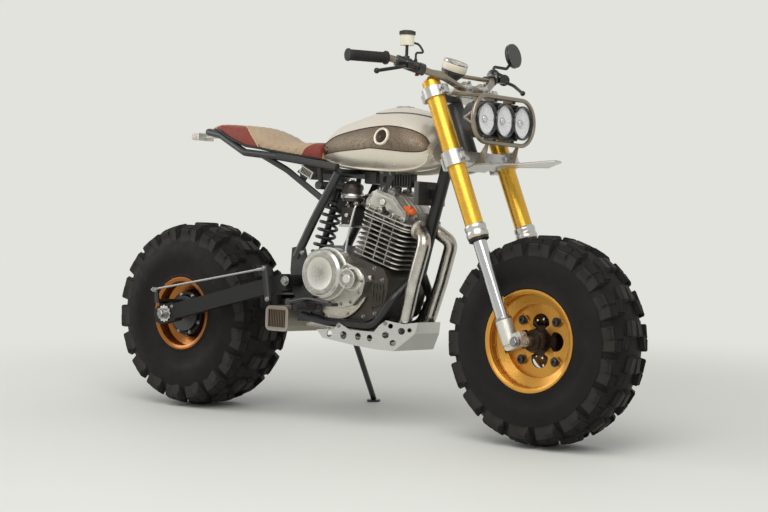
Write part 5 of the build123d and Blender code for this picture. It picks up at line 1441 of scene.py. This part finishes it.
class MOTORCYCLE_OT_engine(Step, bpy.types.Operator):
    """Covers' steps and bolts, rocker cover, oil pipe, plug, intake clamps and carburettor cap."""
    bl_idname = "motorcycle.engine"
    bl_label = "Engine trim"

    def make(self, scene):
        self.paint_barrel_fin_shade()
        self.covers()
        self.skirt()
        self.brackets()
        self.left_side()
        self.top_end()
        self.intake()
        self.exhaust()
        self.skid()

    def paint_barrel_fin_shade(self):
        """Painted shade on the barrel's core, deep between its fins, in the crankcase's dark finish."""
        obj = NODES["cylinder_block"]
        # painted shade between the fins, in the crankcase's dark finish
        obj.data.materials.append(use("case_dark"))
        move = CYLINDER.inverted() @ UPRIGHT @ obj.matrix_world
        for face in obj.data.polygons:
            face.material_index = 1 if (move @ face.center).xy.length < FIN_SHADE_RADIUS else 0

    def covers(self):
        """Steps and bolts of the clutch cover, the drive cap and its neck, all on the right."""
        cover, bolts = meshes(2)
        x, z = CLUTCH_AT
        lathe(cover, [(0, 0.0006), (0.052, 0.0006), (0.0545, 0.0016), (0.0665, 0.0016), (0.069, 0.0006),
                      (0.0712, 0)], facing((0, -1, 0), (x, CLUTCH_FACE, z)), 72)
        lathe(cover, [(0.0808, 0), (0.0868, 0), (0.0868, 0.004), (0.0835, 0.0065), (0.0808, 0.0065)],
              facing((0, -1, 0), (x, CLUTCH_RIM, z)), 72, closed=True)
        x, z = DRIVE_CAP_AT
        cap = facing((0, -1, 0), (x, CAP_FACE, z))
        lathe(cover, [(0, 0.0035), (0.014, 0.0035), (0.0165, 0.001), (0.0265, 0.001), (0.0285, 0.0025),
                      (0.0315, 0.0018), (0.033, 0)], cap, 56)
        lathe(cover, [(0.0332, -0.032), (0.0395, -0.034), (0.0405, -0.0305), (0.0375, -0.027),
                      (0.0332, -0.026)], cap, 56, closed=True)
        hole = circle(0.0345, x, z, steps=40)
        plate(cover, NECK, 0.004, side_on(NECK_PLANE), holes=[hole], soft=0.0012)
        for bx, bz in NECK_BOLTS:
            bolt(bolts, (bx, NECK_FACE, bz), (0, -1, 0), 0.0044, 0.006)
        for angle in (30, 150, 270):
            at = spokewise((x, 0, z), 0.0222, CAP_SCREWS, angle)
            bolt(bolts, at, (0, -1, 0), 0.0032, 0.0025, socket=True, washer=False)
        self.case(bolts)
        piece("cover_steps", cover, "frame", "cast_aluminium", 35)
        piece("engine_bolts", bolts, "frame", "steel")
        self.recess_shade()

    def case(self, bolts):
        """The crankcase's bolt bosses, its rolled joint and the webbed corner at its front."""
        case = bmesh.new()
        for side, spots in ((-1, CASE_BOLTS), (1, CASE_BOLTS + LEFT_CASE_BOLTS)):
            for x, z in spots:
                at = (x, side * CASE_FACE, z)
                bolt(bolts, at, (0, side, 0), 0.0048, 0.007)
                lathe(case, [(0.0075, -0.006), (0.0105, -0.006), (0.0098, 0.0002), (0.0075, 0.0002)],
                      facing((0, side, 0), at), 24, closed=True)
        for y in (-CASE_JOINT, CASE_JOINT):
            tube(case, [(x, y, z) for x, z in CASE_EDGE], 0.0042, 0.012, steps=8)
        for k in range(4):
            x = 0.846 + 0.013 * k
            web = [(x, WEB_LINE, 0.386 + 0.006 * k), (x + 0.002, WEB_LINE, 0.47)]
            tube(case, web, 0.0026, steps=8)
        plate(case, [(0.845, 0.392), (0.884, 0.402), (0.892, 0.452), (0.858, 0.458)], 0.005,
              side_on(WEB_PLANE), holes=[circle(0.011, 0.868, 0.428)], soft=0.001)
        piece("case_ribs", case, "frame", "case_dark", 35)

    def recess_shade(self):
        """Dark blocks in the pockets under the crankcase's left side, as painted shade inside them."""
        dark = bmesh.new()
        for x in (0.643, 0.675, 0.707, 0.739, 0.771):
            block(dark, (x, 0.06, 0.352), (x + 0.012, 0.1035, 0.36), 0.001)
        piece("case_recess_shade", dark, "frame", "dark_cast")

    def skirt(self):
        """Light lower cover under the clutch, with cast ribs and a rolled gasket edge."""
        skirt, bolts = meshes(2)
        plate(skirt, SKIRT, 0.0055, side_on(SKIRT_PLANE), soft=0.0014)
        tube(skirt, [(x, SKIRT_ROLL, z) for x, z in SKIRT[:8]], 0.0042, 0.02, steps=10)
        tube(skirt, [(x - 0.01, SKIRT_ROLL, z + 0.004) for x, z in SKIRT[:7]], 0.0016, 0.02, steps=8)
        for k in range(6):
            z = 0.452 - 0.0135 * k
            front = (at_x(SKIRT_FRONT, z) - 0.012, SKIRT_RIB, z - 0.006)
            tube(skirt, [(0.64, SKIRT_RIB, z), front], 0.0023, steps=8)
        for x, z in (SKIRT[3], SKIRT[5], SKIRT[7], SKIRT[8]):
            at = Vector((x - 0.004, SKIRT_BOSS, z + 0.003))
            lathe(skirt, capped(0.008, -0.004, 0.0022, 0.001), facing((0, -1, 0), at), 24)
            bolt(bolts, at + Vector((0, -0.0022, 0)), (0, -1, 0), 0.0042, 0.005)
        piece("clutch_skirt", skirt, "frame", "skirt_cast", 35)
        piece("skirt_bolts", bolts, "frame", "steel")

    def brackets(self):
        """Head stays, a coil with ribs and a control box, hung from the backbone over the head."""
        dark, steel = meshes(2)
        stay = [(0.806, 0.77), (0.838, 0.776), (0.866, 0.838), (0.796, 0.846)]
        for side in (-1, 1):
            plate(dark, stay, 0.004, side_on(side * 0.03), holes=[circle(0.012, 0.826, 0.812)])
            for x, z in ((0.822, 0.783), (0.848, 0.832), (0.812, 0.836)):
                bolt(steel, (x, side * 0.033, z), (0, side, 0), 0.005, 0.006)
        block(dark, (0.874, -0.052, 0.786), (0.944, -0.016, 0.83), 0.004)
        for k in range(6):
            block(dark, (0.878 + 0.011 * k, -0.057, 0.79), (0.882 + 0.011 * k, -0.052, 0.826), 0.001)
        drum(dark, (0.888, -0.034, 0.786), (0.884, -0.036, 0.768), 0.008, 20, 0.002)
        drum(dark, (0.926, -0.034, 0.786), (0.928, -0.036, 0.77), 0.008, 20, 0.002)
        block(dark, (0.742, -0.04, 0.796), (0.792, 0.03, 0.836), 0.005)
        piece("head_brackets", dark, "frame", "lever_black")
        piece("bracket_bolts", steel, "frame", "steel")

    def left_side(self):
        """Steps and bolts of the round cover on the left."""
        cover, bolts = meshes(2)
        x, z = LEFT_COVER_AT
        lathe(cover, [(0, 0.0018), (0.03, 0.0018), (0.033, 0), (0.05, 0), (0.053, 0.0014),
                      (0.066, 0)], facing((0, 1, 0), (x, LEFT_COVER_FACE, z)), 72)
        for k in range(8):
            at = spokewise((x, 0, z), 0.0805, LEFT_COVER_FLANGE, 45 * k + 12)
            bolt(bolts, at, (0, 1, 0), 0.0046, 0.006)
        piece("left_cover_steps", cover, "frame", "cast_aluminium", 35)
        piece("left_cover_bolts", bolts, "frame", "steel")

    def top_end(self):
        """The rocker cover's side faces, caps, bolts and ribs, and the edge of the head's gasket."""
        cover, bolts, dark = meshes(3)
        for side in (-1, 1):
            self.rocker_side(cover, bolts, side)
            gasket = [(-0.094, HEAD + 0.0215), (0.078, HEAD + 0.0215), (0.078, HEAD + 0.0235),
                      (-0.094, HEAD + 0.0235)]
            plate(dark, gasket, 0.005, CYLINDER @ side_on(side * 0.077))
        for x, y in ((-0.055, -0.066), (-0.055, 0.066), (-0.005, -0.066), (-0.005, 0.066)):
            bolt(bolts, on_head(x, y, 0.0878), UP_BORE, 0.0042, 0.006)
        for k in range(4):
            y = -0.03 + 0.02 * k
            tube(cover, [on_head(-0.06, y, 0.0885), on_head(0.002, y, 0.0885), on_head(0.062, y, 0.0585)],
                 0.0022, 0.004, steps=8)
        piece("rocker_cover_trim", cover, "frame", "cast_aluminium", 35)
        piece("rocker_bolts", bolts, "frame", "steel")
        piece("head_gasket_edge", dark, "frame", "dark_cast")
        self.plugs()
        self.oil_pipe()

    def rocker_side(self, cover, bolts, side):
        """One side of the rocker cover: its face, bosses and their bolts, and the two caps above it."""
        out = (0, side, 0)
        face = [(-0.084, HEAD + 0.034), (-0.085, HEAD + 0.048), (-0.074, HEAD + 0.068),
                (-0.062, HEAD + 0.078), (0.003, HEAD + 0.078), (0.06, HEAD + 0.045), (0.064, HEAD + 0.034)]
        hole = circle(0.013, -0.03, HEAD + 0.056, steps=28)
        plate(cover, face, 0.003, CYLINDER @ side_on(side * ROCKER_FACE), holes=[hole], soft=0.001)
        for x in (-0.082, -0.03, 0.02, 0.068):
            lathe(cover, capped(0.0085, 0, 0.008, 0.001), facing(out, on_head(x, side * 0.0765, 0.027)), 24)
            bolt(bolts, on_head(x, side * 0.0845, 0.027), out, 0.0042, 0.005, socket=True)
        lathe(cover, [(0, 0.006), (0.009, 0.006), (0.0115, 0.004), (0.0118, 0)],
              facing(out, on_head(-0.03, side * ROCKER_FACE, 0.056)), 32)
        lathe(cover, [(0, 0.004), (0.012, 0.004), (0.0165, 0.0015), (0.019, 0)],
              facing(UP_BORE, on_head(-0.03, side * 0.042, 0.098)), 40)
        bolt(bolts, on_head(-0.03, side * 0.042, 0.102), UP_BORE, 0.007, 0.005, washer=False)
        lathe(cover, [(0, 0.003), (0.009, 0.003), (0.0125, 0.0012), (0.015, 0)],
              facing(OUT_OF_PORT, on_head(0.083, side * 0.042, 0.04)), 32)
        bolt(bolts, on_head(0.086, side * 0.042, 0.04), OUT_OF_PORT, 0.005, 0.004, washer=False)

    def plugs(self):
        """The spark plug's cap and the orange connector over the head."""
        plug, orange = meshes(2)
        tip = on_head(0.01, -0.108, 0.034)
        drum(plug, on_head(0.01, -0.092, 0.03), tip, 0.0085, 24, 0.002)
        drum(plug, tip, on_head(0.002, -0.112, 0.05), 0.0062, 20, 0.002)
        piece("plug_cap", plug, "frame", "hose_rubber")
        at = on_head(0.062, -0.058, 0.05)
        drum(orange, at, on_head(0.092, -0.066, 0.064), 0.0105, 24, 0.003)
        box(orange, (0.03, 0.018, 0.02), moved(at + Vector((0.006, -0.006, 0.012))), 0.004)
        piece("orange_plug", orange, "frame", "orange_wire")

    def oil_pipe(self):
        """The bright pipe from the head down to the crankcase, with a union at each end."""
        pipe, ends = meshes(2)
        run = [(0.758, -0.094, 0.728), (0.756, -0.101, 0.712), (0.743, -0.102, 0.664), (0.731, -0.102, 0.611),
               (0.728, -0.104, 0.577), (0.733, -0.11, 0.545), (0.734, -0.104, 0.53)]
        tube(pipe, run, 0.0036, 0.012, steps=12)
        for at in (run[0], run[-1]):
            lathe(ends, capped(0.0075, -0.006, 0.006, 0.001), facing((0, -1, 0), at), 24)
            bolt(ends, Vector(at) + Vector((0, -0.006, 0)), (0, -1, 0), 0.0055, 0.005, washer=False)
        piece("oil_pipe", pipe, "frame", "chrome")
        piece("oil_pipe_ends", ends, "frame", "steel")

    def intake(self):
        """Clamps of the intake hose, and the carburettor's cap, bowl edge, adjuster and screws."""
        clamps, dome, screws = meshes(3)
        start = CYLINDER @ Vector((-0.1026, 0, 0.172))
        knee = CYLINDER @ Vector((-0.116, 0, 0.172))
        end = Vector((0.661, 0, 0.728))
        band = [(0.0262, -0.005), (0.0295, -0.005), (0.03, -0.003), (0.03, 0.003), (0.0295, 0.005),
                (0.0262, 0.005)]
        lathe(clamps, band, facing(knee - start, start + (knee - start) * 0.5), 48, closed=True)
        for t in (0.3, 0.92):
            lathe(clamps, band, facing(end - knee, knee.lerp(end, t)), 48, closed=True)
            at = knee.lerp(end, t) + Vector((0, -0.031, 0))
            drum(screws, at + Vector((-0.006, 0, -0.006)), at + Vector((0.006, 0, 0.006)), 0.003, 12)
        top = moved((0.699, -0.046, 0.736))
        lathe(dome, [(0.0342, 0.01), (0.0372, 0.011), (0.0378, 0.016), (0.0378, 0.02), (0.0355, 0.0245),
                     (0.0342, 0.0245)], top, 56, closed=True)
        for x, y in circle(0.0355, 0.699, -0.046, 4, pi / 4):
            bolt(screws, (x, y, 0.76), (0, 0, 1), 0.003, 0.004, socket=True, washer=False)
        lathe(dome, [(0, 0.0735), (0.0065, 0.0735), (0.0075, 0.071), (0.012, 0.0705)], top, 28)
        block(dome, (0.672, -0.078, 0.651), (0.724, 0.012, 0.66), 0.003)
        for bx in (0.68, 0.716):
            bolt(screws, (bx, -0.0785, 0.67), (0, -1, 0), 0.003, 0.003, socket=True, washer=False)
        drum(dome, (0.706, -0.074, 0.69), (0.706, -0.084, 0.69), 0.007, 20, 0.001)
        piece("intake_clamps", clamps, "frame", "steel")
        piece("carburettor_trim", dome, "frame", "machined_aluminium")
        piece("carburettor_screws", screws, "frame", "steel")

    def exhaust(self):
        """A flange with two nuts at each exhaust port."""
        flange, nuts = meshes(2)
        for side in (-1, 1):
            x, y, z = PORT
            at = CYLINDER @ Vector((x, side * y, z))
            lathe(flange, [(0.0222, -0.002), (0.03, -0.002), (0.0312, 0), (0.0312, 0.006),
                           (0.0285, 0.0085), (0.0222, 0.0085)], facing(OUT_OF_PORT, at), 40, closed=True)
            for k in (-1, 1):
                stud = CYLINDER @ Vector((x, side * (y + 0.0096 * k), z + 0.027 * k))
                bolt(nuts, stud + OUT_OF_PORT * 0.004, OUT_OF_PORT, 0.0048, 0.006)
        piece("port_flanges", flange, "frame", "cast_aluminium", 35)
        piece("port_nuts", nuts, "frame", "steel")

    def skid(self):
        """Bolts through the skid plate, the front ones square to its folded corners."""
        bolts = bmesh.new()
        fold = radians(SKID_FOLD)
        past_fold = 0.0155
        y = SKID_SIDE - 0.0002 - past_fold * tan(fold)
        for side in (-1, 1):
            bolt(bolts, (0.737, side * SKID_SIDE, 0.328), (0, side, 0), 0.0055, 0.005)
            bolt(bolts, (0.7, side * SKID_SIDE, 0.3165), (0, side, 0), 0.0035, 0.003)
            at = (SKID_FOLD_AT + past_fold, side * y, 0.346)
            bolt(bolts, at, (sin(fold), side * cos(fold), 0), 0.005, 0.005)
        piece("skid_bolts", bolts, "frame", "steel")


# ---- rear end ----
REAR_SPROCKET, DRIVE_SPROCKET = 0.092, 0.04
DRIVE_SPROCKET_AT = (0.618, 0.47)
CHAIN_PITCH = 0.015875
CHAIN_LINE = 0.147
SWINGARM_PIVOT = (0.55, 0.465)
REAR_NUT_OUT, CAM_OUT, ARM_FACE, PIVOT_FACE = 0.209, 0.1985, 0.1962, 0.1965
PLATE_FACE = 0.1242
BRAKE_ROD_LINE = -0.214
SHOCK_LOW, SHOCK_TOP = Vector((0.502, 0, 0.452)), Vector((0.606, 0, 0.786))


def helix(start, end, radius, turns, steps=28):
    """Points of a coil between two points, flat at both ends."""
    place = facing(end - start, start)
    length = (end - start).length
    out = []
    total = int(turns * steps)
    for k in range(total + 1):
        t = k / total
        rise = min(1.0, max(0, (t * turns - 0.7) / (turns - 1.4)))
        a = 2 * pi * turns * t
        out.append(place @ Vector((radius * cos(a), radius * sin(a), 0.006 + (length - 0.012) * rise)))
    return out


class MOTORCYCLE_OT_rear_end(Step, bpy.types.Operator):
    """Coil spring, chain links, axle cams, brake linkage and the small fittings round the frame."""
    bl_idname = "motorcycle.rear_end"
    bl_label = "Rear end"

    def make(self, scene):
        self.spring()
        self.chain()
        self.axle()
        self.fittings()

    def spring(self):
        """The shock's coil, the collars under it and its remote body."""
        low, top = SHOCK_LOW, SHOCK_TOP
        way = (top - low).normalized()
        bm = bmesh.new()
        tube(bm, helix(low + way * 0.0885, top - way * 0.0605, 0.03, 8.5), 0.0054, steps=12)
        piece("coil_spring", bm, "frame", "satin_black", 60, ["shock_spring"])
        bm = bmesh.new()
        for t in (0.096, 0.108):
            lathe(bm, [(0, -0.003), (0.0345, -0.003), (0.036, 0), (0.0345, 0.003), (0, 0.003)],
                  facing(way, low + way * (t - 0.016)), 32)
        drum(bm, top - way * 0.048 + Vector((0, -0.022, 0)), top - way * 0.006 + Vector((0, -0.04, 0)),
             0.013, 28, 0.003)
        piece("shock_fittings", bm, "frame", "dark_grey")

    def chain(self):
        """Links all round both sprockets, in place of the plain band."""
        far, rise = DRIVE_SPROCKET_AT[0], DRIVE_SPROCKET_AT[1] - TYRE_RADIUS
        span = sqrt(far * far + rise * rise)
        slope = atan2(rise, far)
        lift = acos((REAR_SPROCKET - DRIVE_SPROCKET) / span)
        path = []

        def arc(x, z, radius, first, last, count=60):
            for k in range(count + 1):
                a = first + (last - first) * k / count
                path.append(Vector((x + radius * cos(a), z + radius * sin(a))))

        arc(far, rise, DRIVE_SPROCKET, slope - lift, slope + lift)
        arc(0, 0, REAR_SPROCKET, slope + lift, slope + 2 * pi - lift)
        path.append(path[0])
        count = int(travelled(path)[-1] / CHAIN_PITCH) // 2 * 2
        pins = [Vector((p.x, CHAIN_LINE, p.y + TYRE_RADIUS)) for p in spaced(path, count, closed=True)]
        bm = bmesh.new()
        for k, pin in enumerate(pins):
            ahead = pins[(k + 1) % count]
            drum(bm, pin - Vector((0, 0.0068, 0)), pin + Vector((0, 0.0068, 0)), 0.0026, 8)
            drum(bm, pin - Vector((0, 0.0036, 0)), pin + Vector((0, 0.0036, 0)), 0.0048, 10)
            lie = ahead - pin
            tilt = -degrees(atan2(lie.z, lie.x))
            place = moved((pin + ahead) / 2) @ turn("Y", tilt) @ turn("X", 90)
            reach = 0.0058 if k % 2 else 0.0042
            outline = circle(0.0066, -lie.length / 2, 0, 8, pi / 2)[:5]
            outline += circle(0.0066, lie.length / 2, 0, 8, -pi / 2)[:5]
            for side in (-1, 1):
                plate(bm, outline, 0.0014, place @ moved((0, 0, side * reach)))
        piece("chain_links", bm, "frame", "dark_steel", 40, ["drive_chain"])

    def axle(self):
        """Axle nuts over toothed cams, the swingarm's pivot nuts, and the rear brake's rod and joints."""
        steel, cams = meshes(2)
        x, z = SWINGARM_PIVOT
        rise = atan2(z - TYRE_RADIUS, x)
        for side in (-1, 1):
            bolt(steel, (0, side * REAR_NUT_OUT, TYRE_RADIUS), (0, side, 0), 0.0135, 0.012)
            teeth = []
            for k in range(48):
                a = 2 * pi * k / 48
                r = 0.03 if k % 4 < 2 else 0.0262
                teeth.append((r * cos(a), r * sin(a)))
            place = moved((0, side * CAM_OUT, TYRE_RADIUS)) @ turn("X", 90)
            plate(cams, teeth, 0.0035, place, holes=[circle(0.0172, steps=28)], soft=0.0006)
            for along_arm in (-0.03, 0.034):
                at = (along_arm * cos(rise), side * ARM_FACE, TYRE_RADIUS + along_arm * sin(rise) + 0.018)
                bolt(steel, at, (0, side, 0), 0.0045, 0.004)
            bolt(steel, (x, side * PIVOT_FACE, z), (0, side, 0), 0.012, 0.009)
        y = BRAKE_ROD_LINE
        bolt(steel, (-0.029, y - 0.0032, 0.4065), (0, -1, 0), 0.0065, 0.005)
        drum(steel, (-0.052, y, 0.4048), (-0.03, y, 0.4088), 0.0042, 16, 0.001)
        lathe(steel, [(0, 0), (0.0085, 0), (0.0105, 0.004), (0.0085, 0.008), (0, 0.008)],
              facing((-1, 0, -0.18), (-0.036, y, 0.4075)), 6)
        bolt(steel, (0.4725, y - 0.0042, 0.5035), (0, -1, 0), 0.0062, 0.005)
        drum(steel, (0.44, y, 0.4965), (0.466, y, 0.5012), 0.0058, 16, 0.001)
        bolt(steel, (0.493, y - 0.0042, 0.402), (0, -1, 0), 0.0062, 0.005)
        drum(steel, (-0.04, y, 0.4068), (0.452, y, 0.4988), 0.004, 16)
        piece("axle_nuts", steel, "frame", "steel")
        piece("axle_cams", cams, "frame", "machined_aluminium")

    def fittings(self):
        """Sleeves on the pegs, the frame's bolts, the box's slatted panel and the cooler's fins."""
        rubber, slats, rim, steel, fins = meshes(5)
        for side in (-1, 1):
            outline = [(0.0112, 0)]
            s = 0.002
            while s < 0.092:
                outline += [(0.0145, s), (0.0145, s + 0.0045), (0.0128, s + 0.0055), (0.0128, s + 0.0075)]
                s += 0.009
            outline += [(0.0145, 0.094), (0.013, 0.0965), (0, 0.0968)]
            lathe(rubber, outline, facing((0, side, 0), (0.638, side * 0.149, 0.385)), 28)
            for x, z, size, height in ((0.61, 0.39, 0.006, 0.005), (0.558, 0.56, 0.0065, 0.006),
                                       (0.532, 0.4, 0.006, 0.006)):
                bolt(steel, (x, side * PLATE_FACE, z), (0, side, 0), size, height)
        piece("peg_sleeves", rubber, "frame", "grip_rubber", 30)
        for side in (-1, 1):
            flat = moved((0.541, side * 0.1002, 0.829)) @ turn("Y", 25.7) @ turn("X", 90)
            plate(rim, oblong(0.029, 0.0135), 0.003, flat, holes=[oblong(0.024, 0.0095)], soft=0.0006)
            for k in range(8):
                slat = flat @ moved((-0.021 + 0.006 * k, 0, -0.0002))
                box(slats, (0.0026, 0.018, 0.0022), slat, 0.0005)
        piece("box_frame", rim, "frame", "machined_aluminium")
        piece("box_slats", slats, "frame", "bronze_plate")
        for k in range(18):
            z = 0.733 + 0.0041 * k
            block(fins, (0.9885, -0.07, z), (0.9918, -0.0145, z + 0.0014))
            block(fins, (0.9885, 0.0145, z), (0.9918, 0.07, z + 0.0014))
            block(fins, (0.9755, -0.07, z), (0.978, 0.07, z + 0.0014))
        for y in (-0.071, 0.071):
            block(fins, (0.975, y - 0.003, 0.73), (0.9922, y + 0.003, 0.806), 0.001)
        piece("cooler_fins", fins, "frame", "dark_grey")
        piece("frame_bolts", steel, "frame", "steel")


# ---- studio ----
FLOOR_HALF = 9
FADE_FROM, FADE_TO = 1.2, 3.0
CAMERA_FROM_REAR_AXLE = Vector((4.379, -4.563, 0.934))
AIM_FROM_REAR_AXLE = Vector((0.8346, 0, 0.5623))


class MOTORCYCLE_OT_studio(Step, bpy.types.Operator):
    """Lays the floor, soft lights and the camera."""
    bl_idname = "motorcycle.studio"
    bl_label = "Studio"

    def make(self, scene):
        s = scene.motorcycle_studio
        floor = bpy.data.meshes.new("floor")
        floor.from_pydata([(x, y, 0) for x, y in oblong(FLOOR_HALF, FLOOR_HALF)], [], [(0, 1, 2, 3)])
        tree, skin = shader("studio_floor", s.floor, 0.62, Specular_IOR_Level=0.25)
        tone = blend(tree, mottle(tree, 1.5), darker(s.floor, 0.985), s.floor)
        tree.links.new(tone, skin.inputs["Base Color"])
        self.fade(tree, skin, s.backdrop)
        floor.materials.append(use("studio_floor"))
        obj = bpy.data.objects.new("floor", floor)
        scene.collection.objects.link(obj)
        world = scene.world or bpy.data.worlds.new("studio")
        scene.world = world
        world.use_nodes = True
        tree = world.node_tree
        tree.nodes.clear()
        out = node(tree, "ShaderNodeOutputWorld")
        lit = node(tree, "ShaderNodeBackground", Color=(1, 1, 1, 1), Strength=s.light)
        seen = node(tree, "ShaderNodeBackground", Color=(*s.backdrop, 1))
        path = node(tree, "ShaderNodeLightPath")
        either = node(tree, "ShaderNodeMixShader")
        tree.links.new(path.outputs["Is Camera Ray"], either.inputs[0])
        tree.links.new(lit.outputs[0], either.inputs[1])
        tree.links.new(seen.outputs[0], either.inputs[2])
        tree.links.new(either.outputs[0], out.inputs["Surface"])
        self.lamp(scene, "key", (1.5, -2.2, 3.4), (0, 0, 0.4), 3.2, s.key)
        self.lamp(scene, "side", (-3.5, -1.5, 2.0), (0, 0, 0.5), 2.0, s.key * 0.35)
        self.camera(scene, s.lens)
        scene.view_settings.view_transform = "Standard"

    def fade(self, tree, skin, far):
        """Far from the machine the floor turns into the backdrop's own colour, so no horizon shows."""
        where = node(tree, "ShaderNodeTexCoord")
        span = node(tree, "ShaderNodeVectorMath", operation="LENGTH")
        tree.links.new(where.outputs["Object"], span.inputs[0])
        away = node(tree, "ShaderNodeMapRange", interpolation_type="SMOOTHSTEP", From_Min=FADE_FROM,
                    From_Max=FADE_TO)
        tree.links.new(span.outputs["Value"], away.inputs["Value"])
        plain = node(tree, "ShaderNodeEmission", Strength=1.0, Color=(*far, 1))
        either = node(tree, "ShaderNodeMixShader")
        tree.links.new(away.outputs["Result"], either.inputs[0])
        tree.links.new(skin.outputs[0], either.inputs[1])
        tree.links.new(plain.outputs[0], either.inputs[2])
        tree.links.new(either.outputs[0], tree.nodes["Material Output"].inputs["Surface"])

    def lamp(self, scene, name, at, towards, size, power):
        """A soft square light."""
        data = bpy.data.lights.new(name, "AREA")
        data.size = size
        data.energy = power
        obj = bpy.data.objects.new(name, data)
        obj.matrix_world = facing(Vector(at) - Vector(towards), at)
        scene.collection.objects.link(obj)

    def camera(self, scene, lens):
        """A long lens a little above the axles, off the right front."""
        data = bpy.data.cameras.new("camera")
        data.lens = lens
        data.sensor_width = 36
        obj = bpy.data.objects.new("camera", data)
        ground = Vector(JOINTS["rear_wheel"]["pos_m"]) - LEANT.to_3x3() @ Vector((0, 0, TYRE_RADIUS))
        ground.z = 0
        at = ground + CAMERA_FROM_REAR_AXLE
        obj.matrix_world = facing(at - (ground + AIM_FROM_REAR_AXLE), at)
        scene.collection.objects.link(obj)
        scene.camera = obj


STEPS = (MOTORCYCLE_OT_finishes, MOTORCYCLE_OT_tyres, MOTORCYCLE_OT_wheels, MOTORCYCLE_OT_saddle,
         MOTORCYCLE_OT_tank, MOTORCYCLE_OT_fork, MOTORCYCLE_OT_controls, MOTORCYCLE_OT_lamps,
         MOTORCYCLE_OT_engine, MOTORCYCLE_OT_rear_end, MOTORCYCLE_OT_studio)


class MOTORCYCLE_PT_panel(bpy.types.Panel):
    """Settings and steps of the motorcycle."""
    bl_idname = "MOTORCYCLE_PT_panel"
    bl_label = "Custom Motorcycle"
    bl_space_type = "VIEW_3D"
    bl_region_type = "UI"
    bl_category = "Motorcycle"

    def draw(self, context):
        for group in (context.scene.motorcycle_colours, context.scene.motorcycle_shape,
                      context.scene.motorcycle_studio):
            column = self.layout.column(align=True)
            for name in group.__annotations__:
                column.prop(group, name)
        column = self.layout.column(align=True)
        for step in STEPS:
            column.operator(step.bl_idname)


GROUPS = {"motorcycle_colours": MotorcycleColours, "motorcycle_shape": MotorcycleShape,
          "motorcycle_studio": MotorcycleStudio}


def register():
    for name, group in GROUPS.items():
        bpy.utils.register_class(group)
        setattr(bpy.types.Scene, name, PointerProperty(type=group))
    for step in STEPS:
        bpy.utils.register_class(step)
    bpy.utils.register_class(MOTORCYCLE_PT_panel)


def unregister():
    bpy.utils.unregister_class(MOTORCYCLE_PT_panel)
    for step in reversed(STEPS):
        bpy.utils.unregister_class(step)
    for name, group in GROUPS.items():
        delattr(bpy.types.Scene, name)
        bpy.utils.unregister_class(group)


def main():
    """Registers the add-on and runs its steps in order."""
    register()
    for step in STEPS:
        group, name = step.bl_idname.split(".")
        if getattr(getattr(bpy.ops, group), name)() != {"FINISHED"}:
            raise RuntimeError(f"{step.bl_idname} did not finish")


if __name__ == "__main__":
    main()
